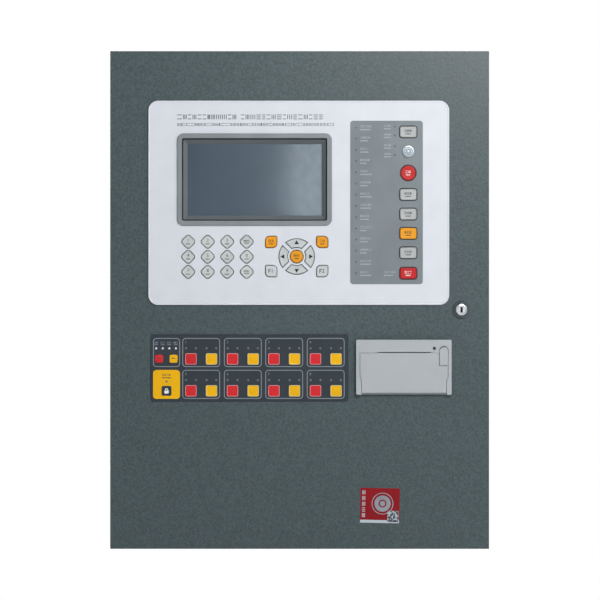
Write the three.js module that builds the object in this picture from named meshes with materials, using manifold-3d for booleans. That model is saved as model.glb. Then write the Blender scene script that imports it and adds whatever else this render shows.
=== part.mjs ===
// Wall-hung fire alarm control panel, built as separate named pieces.
// Millimetres, +Z up. The front faces -Y and the wall face lies on Y = 0, with the
// origin at the centre of the wall face. The door's pieces sit in a group whose
// Y = 0 is the door's front face, so a negative Y there stands proud of the door.

import * as THREE from "three";
import { ConvexGeometry } from "three/addons/geometries/ConvexGeometry.js";
import { mergeVertices } from "three/addons/utils/BufferGeometryUtils.js";
import Module from "manifold-3d";

const wasm = await Module();
wasm.setup();

// ---- driving dimensions ----
const GAP = 0.3; // kept between pieces that touch
const DEPTH = 140; // wall to the door's front face
const SHEET = 1.5; // steel sheet of the box and the door
const DOOR = { width: 440, height: 578, edge: 20 };
const BOX = { width: 438, height: 576, depth: 118, lip: 14 };
const HINGE = { x: -213, behind: 7, heights: [200, -200], pin: 2 };
const KEYHOLE = { x: 200, z: 255, round: 6, slot: 3, rise: 14 };
const ENTRY = { x: -120, y: -60, hole: 22.3, bore: 16, rim: 25 };

const FASCIA = { x: -1, z: 112.7, width: 349, height: 237, corner: 11.5, front: -2.3, back: -GAP };
const FASCIA_WINDOW = { width: 336, height: 224, corner: 6 };
const BEZEL = { x: -52.3, z: 139.7, width: 179.6, height: 106.9, corner: 7.5, front: -4.5 };
const BEZEL_MOUTH = { width: 167.4, height: 96.6, corner: 3 };
const SCREEN = { x: -53.2, z: 138.5, width: 154.2, height: 85.9, front: 4 };
const BOARD = { front: 8, thickness: 1.6 };

const KEY = { proud: -3.6, clearance: 0.6, flange: 1, foot: 5.5 };
const PAD = { x: -129.2, z: 67.6, pitchX: 22.6, pitchZ: 17.5, half: 7.4, corner: 2.2 };
const NAV = { x: -3.4, z: 50.4, button: 7.2, inner: 11, outer: 21, halfGap: 2.2 };
const CORNER_KEY = { offsetX: 29.6, offsetZ: 16.9, size: 13, outward: 4.5, other: 1.5 };
const COLUMN = { x: 126, width: 18.8, height: 12.5, corner: 2.5 };
const COLUMN_KEYS = [194.9, 122.3, 99.6, 77.2, 54.7, 31.0];
const ROUND_BUTTON = { z: 147.3, radius: 8.5 };
const KEY_SWITCH = { z: 172.3, ring: 6.75, barrel: 6.1, bore: 4.3, front: -5.4, back: 14 };

const OVERLAY = { x: -58.2, z: -78.8, width: 229.8, height: 78, corner: 3, thickness: 1 };
const PRINTER = { x: 120.7, z: -77.9, width: 110.5, height: 63.5, proud: -7, back: 50 };
const COVER = { left: -50.6, right: 51, top: 16.5, hingeY: -5.8, hingeZ: -28.9, half: 1.2 };
const LEVER = { left: 41.6, right: 51, top: 24.1, bottom: 2.1, pinY: -5.5, pinZ: 20 };
const PLATEN = { y: 5, z: 10, radius: 4, half: 30.6 };
const ROLL = { y: 30, z: -8, radius: 14, half: 28.5, core: 5.5 };
const LOCK = { x: 187.6, z: -11.3, ring: 10, barrel: 9.3, bore: 7.8, plug: 7.5, back: 21, cam: 28 };

const PLATE = { width: 370, bottom: -180, top: 265, front: -14, thickness: 2 };
const BATTERY = { width: 151, depth: 65, height: 94, gap: 12 };

// ---- materials ----
const material = (color, roughness, metalness = 0) =>
  new THREE.MeshStandardMaterial({ color, roughness, metalness });
const MATERIALS = {
  paint: material(0x545f63, 0.55, 0.3),
  fascia: material(0xdfe3ea, 0.45),
  bezel: material(0x858d92, 0.5),
  glass: material(0x51606c, 0.12),
  overlay: material(0x434c53, 0.4),
  printer: material(0xacb1b4, 0.55),
  grey: material(0xb7bfc0, 0.5),
  amber: material(0xefa515, 0.45),
  red: material(0xcd2328, 0.45),
  chrome: material(0xc8ccd0, 0.15, 1),
  zinc: material(0x9aa0a4, 0.35, 1),
  board: material(0x1f6b45, 0.5),
  battery: material(0x2b2d30, 0.6),
  terminal: material(0x3c8a4e, 0.6),
  rubber: material(0x1b1c1e, 0.9),
  paper: material(0xf2f2ee, 0.9),
};

// ---- solids ----

/** Turns a closed geometry into a solid. */
function solid(geometry) {
  geometry.deleteAttribute("normal");
  geometry.deleteAttribute("uv");
  const merged = mergeVertices(geometry);
  return new wasm.Manifold(
    new wasm.Mesh({
      numProp: 3,
      vertProperties: merged.attributes.position.array,
      triVerts: new Uint32Array(merged.index.array),
    }),
  );
}

/** Joins solids into one. */
const join = (...solids) => solids.reduce((whole, next) => whole.add(next));

/** Cuts every later solid out of the first. */
const cut = (whole, ...tools) => tools.reduce((rest, tool) => rest.subtract(tool), whole);

/** A box between two corners. */
function block([x0, y0, z0], [x1, y1, z1]) {
  const geometry = new THREE.BoxGeometry(x1 - x0, y1 - y0, z1 - z0);
  geometry.translate((x0 + x1) / 2, (y0 + y1) / 2, (z0 + z1) / 2);
  return solid(geometry);
}

/** A rectangle about (0, 0); radii are those of lower left, lower right, upper right, upper left. */
function rectangle(width, height, radii = 0) {
  const [lowerLeft, lowerRight, upperRight, upperLeft] = Array.isArray(radii) ? radii : Array(4).fill(radii);
  const corners = [
    [-1, -1, lowerLeft],
    [1, -1, lowerRight],
    [1, 1, upperRight],
    [-1, 1, upperLeft],
  ];
  const shape = new THREE.Shape();
  corners.forEach(([sideX, sideY, radius], index) => {
    const x = sideX * (width / 2 - radius);
    const y = sideY * (height / 2 - radius);
    const start = Math.PI + (index * Math.PI) / 2;
    if (radius > 0) shape.absarc(x, y, radius, start, start + Math.PI / 2);
    else if (index === 0) shape.moveTo(x, y);
    else shape.lineTo(x, y);
  });
  shape.closePath();
  return shape;
}

/** A regular polygon that stands for a circle. */
function disc(radius, sides = 24) {
  const points = [];
  for (let side = 0; side < sides; side += 1) {
    const angle = (2 * Math.PI * side) / sides;
    points.push(new THREE.Vector2(radius * Math.cos(angle), radius * Math.sin(angle)));
  }
  return new THREE.Shape(points);
}

/** Stands a shape, drawn as seen from the front, between two depths. */
function prism(shape, front, back, x = 0, z = 0, arcSteps = 2) {
  const options = { depth: back - front, bevelEnabled: false, curveSegments: arcSteps };
  const geometry = new THREE.ExtrudeGeometry(shape, options);
  geometry.rotateX(Math.PI / 2);
  geometry.translate(x, back, z);
  return solid(geometry);
}

/** A round bar or cone along Y. */
function drum(frontRadius, backRadius, front, back, sides = 24) {
  const geometry = new THREE.CylinderGeometry(backRadius, frontRadius, back - front, sides);
  geometry.translate(0, (front + back) / 2, 0);
  return solid(geometry);
}

/** A round bar along X. */
function axle(radius, left, right, y, z, sides = 20) {
  const geometry = new THREE.CylinderGeometry(radius, radius, right - left, sides);
  geometry.rotateZ(Math.PI / 2);
  geometry.translate((left + right) / 2, y, z);
  return solid(geometry);
}

/** A round bar along Z. */
function post(radius, bottom, top, x, y, sides = 20) {
  const geometry = new THREE.CylinderGeometry(radius, radius, top - bottom, sides);
  geometry.rotateX(Math.PI / 2);
  geometry.translate(x, y, (bottom + top) / 2);
  return solid(geometry);
}

/** Adds a solid to a group as a named mesh. */
function piece(group, name, body, finish, x = 0, y = 0, z = 0) {
  const { vertProperties, triVerts } = body.getMesh();
  const geometry = new THREE.BufferGeometry();
  geometry.setAttribute("position", new THREE.BufferAttribute(vertProperties, 3));
  geometry.setIndex(new THREE.BufferAttribute(triVerts, 1));
  geometry.computeVertexNormals();
  const mesh = new THREE.Mesh(geometry, finish);
  mesh.name = name;
  mesh.position.set(x, y, z);
  group.add(mesh);
}

// ---- keys: where each one stands, its outline and the outline of its hole ----

/** A square standing on a corner, with rounded corners; half is half of its height. */
function diamond(half, corner) {
  const centre = half - corner;
  const shape = new THREE.Shape();
  for (let side = 0; side < 4; side += 1) {
    const angle = (side * Math.PI) / 2;
    const start = angle - Math.PI / 4;
    shape.absarc(centre * Math.cos(angle), centre * Math.sin(angle), corner, start, start + Math.PI / 2);
  }
  shape.closePath();
  return shape;
}

/** A quarter of a ring about the +X direction, cut back from both diagonals. */
function quarterRing(inner, outer, halfGap) {
  const innerHalf = Math.PI / 4 - Math.asin(halfGap / inner);
  const outerHalf = Math.PI / 4 - Math.asin(halfGap / outer);
  const shape = new THREE.Shape();
  shape.absarc(0, 0, outer, -outerHalf, outerHalf);
  shape.absarc(0, 0, inner, innerHalf, -innerHalf, true);
  shape.closePath();
  return shape;
}

/** Turns a shape's outline about (0, 0) by whole quarter turns. */
function turned(shape, quarters) {
  const angle = (quarters * Math.PI) / 2;
  const origin = new THREE.Vector2();
  return new THREE.Shape(shape.getPoints(2).map((point) => point.clone().rotateAround(origin, angle)));
}

/** The keypad's four columns and three rows, as outlines that grow by a clearance. */
function keypadKeys() {
  const rows = [
    ["digit_1", "digit_2", "digit_3", "back"],
    ["digit_4", "digit_5", "digit_6", "digit_0"],
    ["digit_7", "digit_8", "digit_9", "function"],
  ];
  const keys = [];
  rows.forEach((names, row) => {
    names.forEach((name, column) => {
      keys.push({
        name: `key_${name}`,
        x: PAD.x + column * PAD.pitchX,
        z: PAD.z - row * PAD.pitchZ,
        outline: (grow) => diamond(PAD.half + grow, PAD.corner),
        flange: disc(7, 12),
        finish: MATERIALS.grey,
      });
    });
  });
  return keys;
}

/** The round enter key and the four arrow keys about it. */
function navigationKeys() {
  const enter = {
    name: "nav_enter",
    x: NAV.x,
    z: NAV.z,
    outline: (grow) => disc(NAV.button + grow, 20),
    flange: disc(9, 12),
    finish: MATERIALS.amber,
  };
  const arrows = ["right", "up", "left", "down"].map((side, quarters) => {
    const arm = (grow) =>
      turned(quarterRing(NAV.inner - grow, NAV.outer + grow, NAV.halfGap - grow), quarters);
    return {
      name: `nav_${side}`,
      x: NAV.x,
      z: NAV.z,
      outline: arm,
      flange: turned(quarterRing(NAV.inner - 1.2, NAV.outer + 1.2, NAV.halfGap - 1), quarters),
      foot: [Math.round(Math.cos((quarters * Math.PI) / 2)), Math.round(Math.sin((quarters * Math.PI) / 2))],
      finish: MATERIALS.grey,
    };
  });
  return [enter, ...arrows];
}

/** The four leaf-shaped keys at the navigation pad's corners. */
function cornerKeys() {
  const names = { mode_key_left: [-1, 1], mode_key_right: [1, 1], f1_key: [-1, -1], f2_key: [1, -1] };
  return Object.entries(names).map(([name, [sideX, sideZ]]) => {
    const alongRise = sideX === sideZ;
    const radii = [0, 1, 2, 3].map((corner) => {
      const onRise = corner % 2 === 0;
      return onRise === alongRise ? CORNER_KEY.outward : CORNER_KEY.other;
    });
    return {
      name,
      x: NAV.x + sideX * CORNER_KEY.offsetX,
      z: NAV.z + sideZ * CORNER_KEY.offsetZ,
      outline: (grow) => rectangle(CORNER_KEY.size + 2 * grow, CORNER_KEY.size + 2 * grow, radii),
      flange: rectangle(CORNER_KEY.size + 3, CORNER_KEY.size + 3),
      finish: sideZ > 0 ? MATERIALS.amber : MATERIALS.grey,
    };
  });
}

/** The column of function keys with its round red button. */
function columnKeys() {
  const finishes = ["grey", "grey", "grey", "amber", "grey", "red"];
  const keys = COLUMN_KEYS.map((z, index) => ({
    name: `function_key_${index + 1}`,
    x: COLUMN.x,
    z,
    outline: (grow) => rectangle(COLUMN.width + 2 * grow, COLUMN.height + 2 * grow, COLUMN.corner),
    flange: rectangle(COLUMN.width + 4, COLUMN.height + 4),
    finish: MATERIALS[finishes[index]],
  }));
  const button = {
    name: "round_button",
    x: COLUMN.x,
    z: ROUND_BUTTON.z,
    outline: (grow) => disc(ROUND_BUTTON.radius + grow, 24),
    flange: disc(ROUND_BUTTON.radius + 2, 16),
    finish: MATERIALS.red,
  };
  return [...keys, button];
}

const KEYS = [...keypadKeys(), ...navigationKeys(), ...cornerKeys(), ...columnKeys()];

/** A key: its cap, the flange that keeps it behind the fascia, and its foot. */
function keySolid(key) {
  const footSize = 3;
  const [footX, footZ] = (key.foot ?? [0, 0]).map((side) => (side * (NAV.inner + NAV.outer)) / 2);
  return join(
    prism(key.outline(0), KEY.proud, KEY.flange, 0, 0),
    prism(key.flange, 0, KEY.flange, 0, 0, 1),
    prism(rectangle(footSize, footSize), KEY.flange / 2, KEY.foot, footX, footZ),
  );
}

// ---- the door and what it carries ----

/** The folded steel door, with its windows, lock hole and hinge notches. */
function doorShell() {
  const through = [-1, DOOR.edge + 1];
  const inner = rectangle(DOOR.width - 2 * SHEET, DOOR.height - 2 * SHEET);
  const printerHole = rectangle(PRINTER.width - 6, PRINTER.height - 5);
  const tray = cut(
    prism(rectangle(DOOR.width, DOOR.height), 0, DOOR.edge),
    prism(inner, SHEET, through[1]),
    prism(rectangle(FASCIA_WINDOW.width, FASCIA_WINDOW.height), ...through, FASCIA.x, FASCIA.z),
    prism(rectangle(OVERLAY.width - 14, OVERLAY.height - 14), ...through, OVERLAY.x, OVERLAY.z),
    prism(printerHole, ...through, PRINTER.x, PRINTER.z),
    drum(LOCK.barrel + GAP, LOCK.barrel + GAP, ...through).translate([LOCK.x, 0, LOCK.z]),
  );
  const notches = HINGE.heights.map((z) =>
    block([-DOOR.width / 2 - 1, SHEET, z - 34], [-DOOR.width / 2 + SHEET + 1, through[1], z + 16]),
  );
  return cut(tray, ...notches);
}

/** The moulded fascia, with a hole for each key, the screen and the key switch. */
function fasciaPanel() {
  const { x, z, front, back } = FASCIA;
  const bosses = [-150, 0, 150].flatMap((offset) =>
    [-92, 100].map((rise) => prism(disc(3, 8), back - 1, BOARD.front - GAP, x + offset, z + rise)),
  );
  const body = join(
    prism(rectangle(FASCIA.width, FASCIA.height, FASCIA.corner), front, back, x, z, 3),
    ...bosses,
  );
  const holes = KEYS.map((key) => prism(key.outline(KEY.clearance), front - 1, back + 1, key.x, key.z));
  const screenHole = rectangle(BEZEL_MOUTH.width + 3.2, BEZEL_MOUTH.height + 3.2);
  const switchHole = disc(KEY_SWITCH.barrel + GAP, 20);
  return cut(
    body,
    ...holes,
    prism(screenHole, front - 1, back + 1, BEZEL.x, BEZEL.z),
    prism(switchHole, front - 1, back + 1, COLUMN.x, KEY_SWITCH.z),
  );
}

/** The frame round the screen, whose recess narrows towards the lens. */
function screenBezel() {
  const { x, z, width, height, corner, front } = BEZEL;
  const collarBack = SCREEN.front - GAP;
  const collar = rectangle(BEZEL_MOUTH.width + 2.6, BEZEL_MOUTH.height + 2.6);
  const body = join(
    prism(rectangle(width, height, corner), front, FASCIA.front - GAP, x, z, 3),
    prism(collar, front + 1, collarBack, x, z),
  );
  const mouth = rectangle(BEZEL_MOUTH.width, BEZEL_MOUTH.height, BEZEL_MOUTH.corner).getPoints(2);
  const sill = rectangle(SCREEN.width, SCREEN.height, BEZEL_MOUTH.corner).getPoints(2);
  const recess = new ConvexGeometry([
    ...mouth.map((point) => new THREE.Vector3(x + point.x, front - 0.01, z + point.y)),
    ...sill.map((point) => new THREE.Vector3(SCREEN.x + point.x, collarBack + 0.01, SCREEN.z + point.y)),
  ]);
  return cut(body, solid(recess));
}

/** The circuit board behind the fascia, cut out for the display and the key switch. */
function keypadBoard() {
  const back = BOARD.front + BOARD.thickness;
  return cut(
    prism(rectangle(330, 214), BOARD.front, back, FASCIA.x, FASCIA.z),
    prism(rectangle(168, 103), BOARD.front - 1, back + 1, SCREEN.x, SCREEN.z),
    prism(disc(KEY_SWITCH.barrel + 2 * GAP, 16), BOARD.front - 1, back + 1, COLUMN.x, KEY_SWITCH.z),
  );
}

/** The key switch's fixed barrel and ring. */
function keySwitchBody() {
  const { ring, barrel, bore, front, back } = KEY_SWITCH;
  const rim = FASCIA.front - GAP;
  const body = join(drum(ring - 0.6, ring, front, rim), drum(barrel, barrel, rim - 1, back));
  return cut(body, drum(bore, bore, front - 1, back + 1));
}

/** The key switch's turning core, with its round keyway and post. */
function keySwitchRotor() {
  const { bore, front, back } = KEY_SWITCH;
  const face = front + 0.8;
  const core = drum(bore - GAP, bore - GAP, face, back + 2);
  const keyway = cut(drum(3, 3, face - 1, face + 4, 16), drum(1.6, 1.6, face - 1, face + 5, 12));
  const notch = block([-0.6, face - 1, 2], [0.6, face + 4, bore]);
  return cut(core, keyway, notch);
}

/** The membrane key panel of the output zones. */
function controlOverlay() {
  const outline = rectangle(OVERLAY.width, OVERLAY.height, OVERLAY.corner);
  return prism(outline, -GAP - OVERLAY.thickness, -GAP, OVERLAY.x, OVERLAY.z);
}

/** The board behind the membrane keys, on four legs against the door. */
function controlBoard() {
  const legs = [-104, 104].flatMap((offset) =>
    [-34, 34].map((rise) =>
      prism(disc(2.5, 8), SHEET + GAP, BOARD.front - 1, OVERLAY.x + offset * 1.07, OVERLAY.z + rise * 1.06),
    ),
  );
  const board = prism(rectangle(232, 80), BOARD.front - 2, BOARD.front - 0.4, OVERLAY.x, OVERLAY.z);
  return join(board, ...legs);
}

/** The printer's housing: a flange on the door and a deep paper well behind it. */
function printerHousing() {
  const { width, height, proud, back } = PRINTER;
  const recessBack = -1.8;
  const wall = 2.5;
  const well = { half: width / 2 - 3.75, rise: height / 2 - 3.25 };
  const ceiling = COVER.top;
  const flange = prism(rectangle(width, height, 1.2), proud, -GAP, 0, 0, 1);
  const shell = block([-well.half, proud + 1, -well.rise], [well.half, back, well.rise]);
  const recess = block([COVER.left - 0.5, proud - 1, -height], [COVER.right + 0.5, recessBack, ceiling + GAP]);
  const hollow = block([-well.half + wall, proud - 1, -well.rise + wall], [well.half - wall, back - wall, ceiling]);
  const slot = block([-30.7, proud - 1, ceiling - 1], [30.8, recessBack, ceiling + 1.2]);
  const leverWay = block([LEVER.left - 0.5, proud - 1, ceiling - 1], [LEVER.right + 0.5, recessBack, LEVER.top + 0.5]);
  const hingeHole = axle(1.1, COVER.left - 2.5, COVER.right + 2.5, COVER.hingeY, COVER.hingeZ, 12);
  const leverHole = axle(1.1, LEVER.left - 2.5, LEVER.right + 2.5, LEVER.pinY, LEVER.pinZ, 12);
  return cut(join(flange, shell), recess, hollow, slot, leverWay, hingeHole, leverHole);
}

/** The printer's cover: a plate with a rounded foot, its hinge pin and two roller arms. */
function printerCover() {
  const { left, right, top, hingeY, hingeZ, half } = COVER;
  const plate = block([left, hingeY - half, hingeZ], [right, hingeY + half, top]);
  const foot = axle(half, left, right, hingeY, hingeZ, 12);
  const pin = axle(0.8, left - 2, right + 2, hingeY, hingeZ, 12);
  const leverNotch = block([LEVER.left - 0.5, hingeY - 5, LEVER.bottom - 0.5], [right + 1, hingeY + 5, top + 1]);
  const arms = [-1, 1].map((side) => {
    const inner = side * (PLATEN.half + 0.6);
    const outer = side * (PLATEN.half + 3.2);
    return block([Math.min(inner, outer), hingeY, PLATEN.z - 9], [Math.max(inner, outer), PLATEN.y + 3, PLATEN.z + 3]);
  });
  const bearing = axle(1.8, -PLATEN.half - 5, PLATEN.half + 5, PLATEN.y, PLATEN.z, 16);
  return cut(join(plate, foot, pin, ...arms), leverNotch, bearing);
}

/** The rubber roller that feeds the paper. */
function platenRoller() {
  const { y, z, radius, half } = PLATEN;
  return join(axle(radius, -half, half, y, z), axle(1.5, -half - 3.5, half + 3.5, y, z, 16));
}

/** The paper roll on its core. */
function paperRoll() {
  const { y, z, radius, half, core } = ROLL;
  return cut(axle(radius, -half, half, y, z, 28), axle(core, -half - 1, half + 1, y, z, 16));
}

/** The heated print line behind the roller. */
function printHead() {
  const face = PLATEN.y + PLATEN.radius + GAP;
  const bar = block([-29, face, PLATEN.z - 7], [29, face + 3, COVER.top - GAP]);
  const fin = block([-29, face + 2, PLATEN.z + 1], [29, face + 8, PLATEN.z + 3]);
  return join(bar, fin);
}

/** The sprung lever that frees the printer's cover. */
function printerLever() {
  const { left, right, top, bottom, pinY, pinZ } = LEVER;
  const front = PRINTER.proud - 1;
  const radius = (right - left) / 2;
  const head = prism(disc(radius, 16), front, front + 3, left + radius, top - radius);
  const tail = block([left, front, bottom], [right, front + 3, top - radius]);
  const pin = axle(0.8, left - 1.4, right + 1.4, pinY, pinZ, 12);
  return join(head, tail, pin);
}

/** The lock's fixed barrel with its ring on the door's front. */
function lockBody() {
  const { ring, barrel, bore, back } = LOCK;
  const front = -2.2;
  const body = join(drum(ring - 0.8, ring, front, -GAP), drum(barrel, barrel, front + 1, back));
  return cut(body, drum(bore, bore, front - 1, back + 1));
}

/** The nut that clamps the lock to the door. */
function lockNut() {
  const front = SHEET + GAP;
  return cut(drum(13.8, 13.8, front, front + 4, 6), drum(LOCK.barrel + GAP, LOCK.barrel + GAP, front - 1, front + 5));
}

/** The lock's turning plug: a coned nose with a key slot, and a square tail. */
function lockPlug() {
  const nose = -6;
  const tail = LOCK.back + 6;
  const body = join(
    drum(LOCK.plug - 2, LOCK.plug, nose, -2.2),
    drum(LOCK.plug, LOCK.plug, -2.2, LOCK.back + 2),
    block([-3, LOCK.back, -3], [3, tail, 3]),
  );
  return cut(body, block([-1.5, nose - 1, -3.5], [1.5, nose + 9, 3.5]));
}

/** The cam on the plug's tail; it points up when the door is free to open. */
function lockCam() {
  const front = LOCK.back + 3;
  const arm = block([-6, front, -8], [6, front + 2, LOCK.cam]);
  return cut(arm, block([-3.3, front - 1, -3.3], [3.3, front + 3, 3.3]));
}

/** The half of a hinge on the door: a leaf with a barrel over the fixed pin. */
function hingeKnuckle() {
  const height = [0.5, 13];
  const barrel = post(3.6, ...height, HINGE.x, HINGE.behind, 16);
  const leaf = block([HINGE.x, SHEET + GAP, height[0]], [HINGE.x + 23, HINGE.behind - 2.6, height[1]]);
  return cut(join(barrel, leaf), post(HINGE.pin + GAP, -1, 20, HINGE.x, HINGE.behind, 16));
}

// ---- the cabinet ----

/** The open-fronted steel box, with keyhole slots to hang it and a cable entry. */
function backBox() {
  const { width, height, depth, lip } = BOX;
  const outer = prism(rectangle(width, height), -depth, 0);
  const hollow = prism(rectangle(width - 2 * SHEET, height - 2 * SHEET), SHEET - depth, -SHEET);
  const mouth = prism(rectangle(width - 2 * lip, height - 2 * lip), -depth - 1, -depth + SHEET + 1);
  const keyholes = [-1, 1].flatMap((sideX) =>
    [-1, 1].map((sideZ) => {
      const [x, z] = [sideX * KEYHOLE.x, sideZ * KEYHOLE.z];
      return join(
        prism(disc(KEYHOLE.round, 16), -5, 5, x, z),
        prism(rectangle(2 * KEYHOLE.slot, KEYHOLE.rise), -5, 5, x, z + KEYHOLE.rise / 2),
      );
    }),
  );
  const entry = post(ENTRY.hole, height / 2 - 5, height / 2 + 5, ENTRY.x, ENTRY.y, 24);
  return cut(outer, hollow, mouth, ...keyholes, entry);
}

/** The rubber bush in the cable entry. */
function cableGrommet() {
  const wall = BOX.height / 2;
  const { x, y, hole, bore, rim } = ENTRY;
  const body = join(
    post(rim, wall + GAP, wall + GAP + 0.6, x, y, 24),
    post(hole - GAP, wall - SHEET - 3, wall + GAP + 0.3, x, y, 24),
    post(rim, wall - SHEET - 3, wall - SHEET - GAP, x, y, 24),
  );
  return cut(body, post(bore, wall - 20, wall + 20, x, y, 24));
}

/** The half of a hinge on the box: a foot on the lip, an arm and the pin. */
function hingeBracket() {
  const pinY = HINGE.behind - DEPTH;
  const lipFront = -BOX.depth - GAP;
  const arm = 2.5;
  return join(
    block([HINGE.x - arm, pinY - arm, -3], [HINGE.x + arm, lipFront, 0]),
    block([HINGE.x - arm - 1.5, lipFront - 2, -30], [HINGE.x + 10, lipFront, 0]),
    post(HINGE.pin, -1, 14, HINGE.x, pinY, 16),
  );
}

/** The plate that the electronics stand on, held off the box by four feet. */
function mountingPlate() {
  const { width, bottom, top, front, thickness } = PLATE;
  const foot = 14;
  const feet = [-1, 1].flatMap((side) =>
    [bottom + foot, top - foot].map((z) => {
      const x = side * (width / 2 - foot);
      return block([x - foot / 2, front + thickness / 2, z - foot / 2], [x + foot / 2, -SHEET - GAP, z + foot / 2]);
    }),
  );
  return join(block([-width / 2, front, bottom], [width / 2, front + thickness, top]), ...feet);
}

/** The main circuit board, flat on the mounting plate, with its relays and its processor. */
function mainBoard() {
  const [left, right, low, high] = [-172, 72, 20, 212];
  const back = PLATE.front - GAP;
  const board = block([left, back - BOARD.thickness, low], [right, back, high]);
  const relays = Array.from({ length: 8 }, (_, index) => {
    const x = left + 22 + index * 28;
    return block([x, back - 17, low + 26], [x + 15, back - 1, low + 44]);
  });
  const core = block([left + 96, back - 9, high - 84], [left + 158, back - 1, high - 38]);
  return join(board, ...relays, core);
}

/** The power supply's folded cover, open towards the mounting plate. */
function powerSupply() {
  const [left, right, low, high] = [84, 178, 30, 200];
  const back = PLATE.front - GAP;
  const front = back - 44;
  const outer = block([left, front, low], [right, back, high]);
  return cut(outer, block([left + SHEET, front + SHEET, low + SHEET], [right - SHEET, back + 1, high - SHEET]));
}

/** The strip of cable terminals across the top. */
function terminalBlock() {
  const [left, right, low, high] = [-160, 160, 226, 244];
  const back = PLATE.front - GAP;
  const ways = 20;
  const pitch = (right - left) / ways;
  const mouths = Array.from({ length: ways }, (_, index) => {
    const x = left + (index + 0.5) * pitch;
    return block([x - 4, back - 17, low + 9], [x + 4, back - 10, high + 1]);
  });
  return cut(block([left, back - 16, low], [right, back, high]), ...mouths);
}

/** A sealed standby battery with its two tabs. */
function battery() {
  const { width, depth, height } = BATTERY;
  const tabs = [-1, 1].map((side) => {
    const x = side * (width / 2 - 12);
    return block([x - 2.4, -depth + 12, height - 1], [x + 2.4, -depth + 12.8, height + 6]);
  });
  return join(block([-width / 2, -depth, 0], [width / 2, 0, height]), ...tabs);
}

// ---- assembly ----

const panel = new THREE.Group();
const cabinet = new THREE.Group();
const door = new THREE.Group();
const printer = new THREE.Group();
door.position.set(0, -DEPTH, 0);
printer.position.set(PRINTER.x, 0, PRINTER.z);
panel.add(cabinet, door);
door.add(printer);

const floor = -BOX.height / 2 + SHEET + GAP;
const batteryX = (BATTERY.width + BATTERY.gap) / 2;
piece(cabinet, "back_box", backBox(), MATERIALS.paint);
piece(cabinet, "cable_grommet", cableGrommet(), MATERIALS.rubber);
piece(cabinet, "mounting_plate", mountingPlate(), MATERIALS.zinc);
piece(cabinet, "main_board", mainBoard(), MATERIALS.board);
piece(cabinet, "power_supply", powerSupply(), MATERIALS.zinc);
piece(cabinet, "terminal_block", terminalBlock(), MATERIALS.terminal);
piece(cabinet, "battery_left", battery(), MATERIALS.battery, -batteryX, -SHEET - 1, floor);
piece(cabinet, "battery_right", battery(), MATERIALS.battery, batteryX, -SHEET - 1, floor);
["upper", "lower"].forEach((level, index) => {
  piece(cabinet, `hinge_bracket_${level}`, hingeBracket(), MATERIALS.zinc, 0, 0, HINGE.heights[index]);
  piece(door, `hinge_knuckle_${level}`, hingeKnuckle(), MATERIALS.zinc, 0, 0, HINGE.heights[index]);
});

const displayBack = SCREEN.front + 2 + GAP;
piece(door, "door", doorShell(), MATERIALS.paint);
piece(door, "fascia_panel", fasciaPanel(), MATERIALS.fascia);
piece(door, "screen_bezel", screenBezel(), MATERIALS.bezel);
piece(door, "screen_lens", prism(rectangle(162, 93), SCREEN.front, SCREEN.front + 2), MATERIALS.glass, SCREEN.x, 0, SCREEN.z);
piece(door, "lcd_module", prism(rectangle(165, 100), displayBack, displayBack + 8), MATERIALS.zinc, SCREEN.x, 0, SCREEN.z);
piece(door, "keypad_board", keypadBoard(), MATERIALS.board);
piece(door, "control_overlay", controlOverlay(), MATERIALS.overlay);
piece(door, "control_board", controlBoard(), MATERIALS.board);
KEYS.forEach((key) => piece(door, key.name, keySolid(key), key.finish, key.x, 0, key.z));
piece(door, "key_switch_body", keySwitchBody(), MATERIALS.chrome, COLUMN.x, 0, KEY_SWITCH.z);
piece(door, "key_switch_rotor", keySwitchRotor(), MATERIALS.chrome, COLUMN.x, 0, KEY_SWITCH.z);

piece(printer, "printer_housing", printerHousing(), MATERIALS.printer);
piece(printer, "printer_cover", printerCover(), MATERIALS.printer);
piece(printer, "platen_roller", platenRoller(), MATERIALS.rubber);
piece(printer, "paper_roll", paperRoll(), MATERIALS.paper);
piece(printer, "print_head", printHead(), MATERIALS.zinc);
piece(printer, "printer_lever", printerLever(), MATERIALS.printer);

piece(door, "lock_body", lockBody(), MATERIALS.chrome, LOCK.x, 0, LOCK.z);
piece(door, "lock_nut", lockNut(), MATERIALS.chrome, LOCK.x, 0, LOCK.z);
piece(door, "lock_plug", lockPlug(), MATERIALS.chrome, LOCK.x, 0, LOCK.z);
piece(door, "lock_cam", lockCam(), MATERIALS.zinc, LOCK.x, 0, LOCK.z);

export default panel;
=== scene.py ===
import logging
import math
from dataclasses import dataclass, field
from enum import Enum
from typing import Callable, Iterable, Sequence

import bmesh
import bpy
import numpy as np
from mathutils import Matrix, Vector


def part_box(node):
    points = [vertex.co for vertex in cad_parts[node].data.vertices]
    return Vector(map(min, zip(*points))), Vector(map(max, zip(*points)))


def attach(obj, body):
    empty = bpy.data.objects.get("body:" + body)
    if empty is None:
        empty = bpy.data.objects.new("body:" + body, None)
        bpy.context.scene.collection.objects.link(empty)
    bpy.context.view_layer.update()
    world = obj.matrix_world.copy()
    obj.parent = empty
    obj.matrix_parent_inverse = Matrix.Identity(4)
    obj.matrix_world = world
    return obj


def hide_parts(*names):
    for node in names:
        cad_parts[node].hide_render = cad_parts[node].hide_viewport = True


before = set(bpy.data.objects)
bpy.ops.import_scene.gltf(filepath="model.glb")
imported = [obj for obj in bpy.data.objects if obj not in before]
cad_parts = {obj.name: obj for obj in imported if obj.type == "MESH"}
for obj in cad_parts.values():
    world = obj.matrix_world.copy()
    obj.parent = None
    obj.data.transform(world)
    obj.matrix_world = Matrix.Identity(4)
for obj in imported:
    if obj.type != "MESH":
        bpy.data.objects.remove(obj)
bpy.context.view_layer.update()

MM = 0.001
SHARP = 32.0  # degrees: an edge that bends more than this stays sharp
SUNK = 0.02  # millimetres that a print starts behind the face it is on
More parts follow.
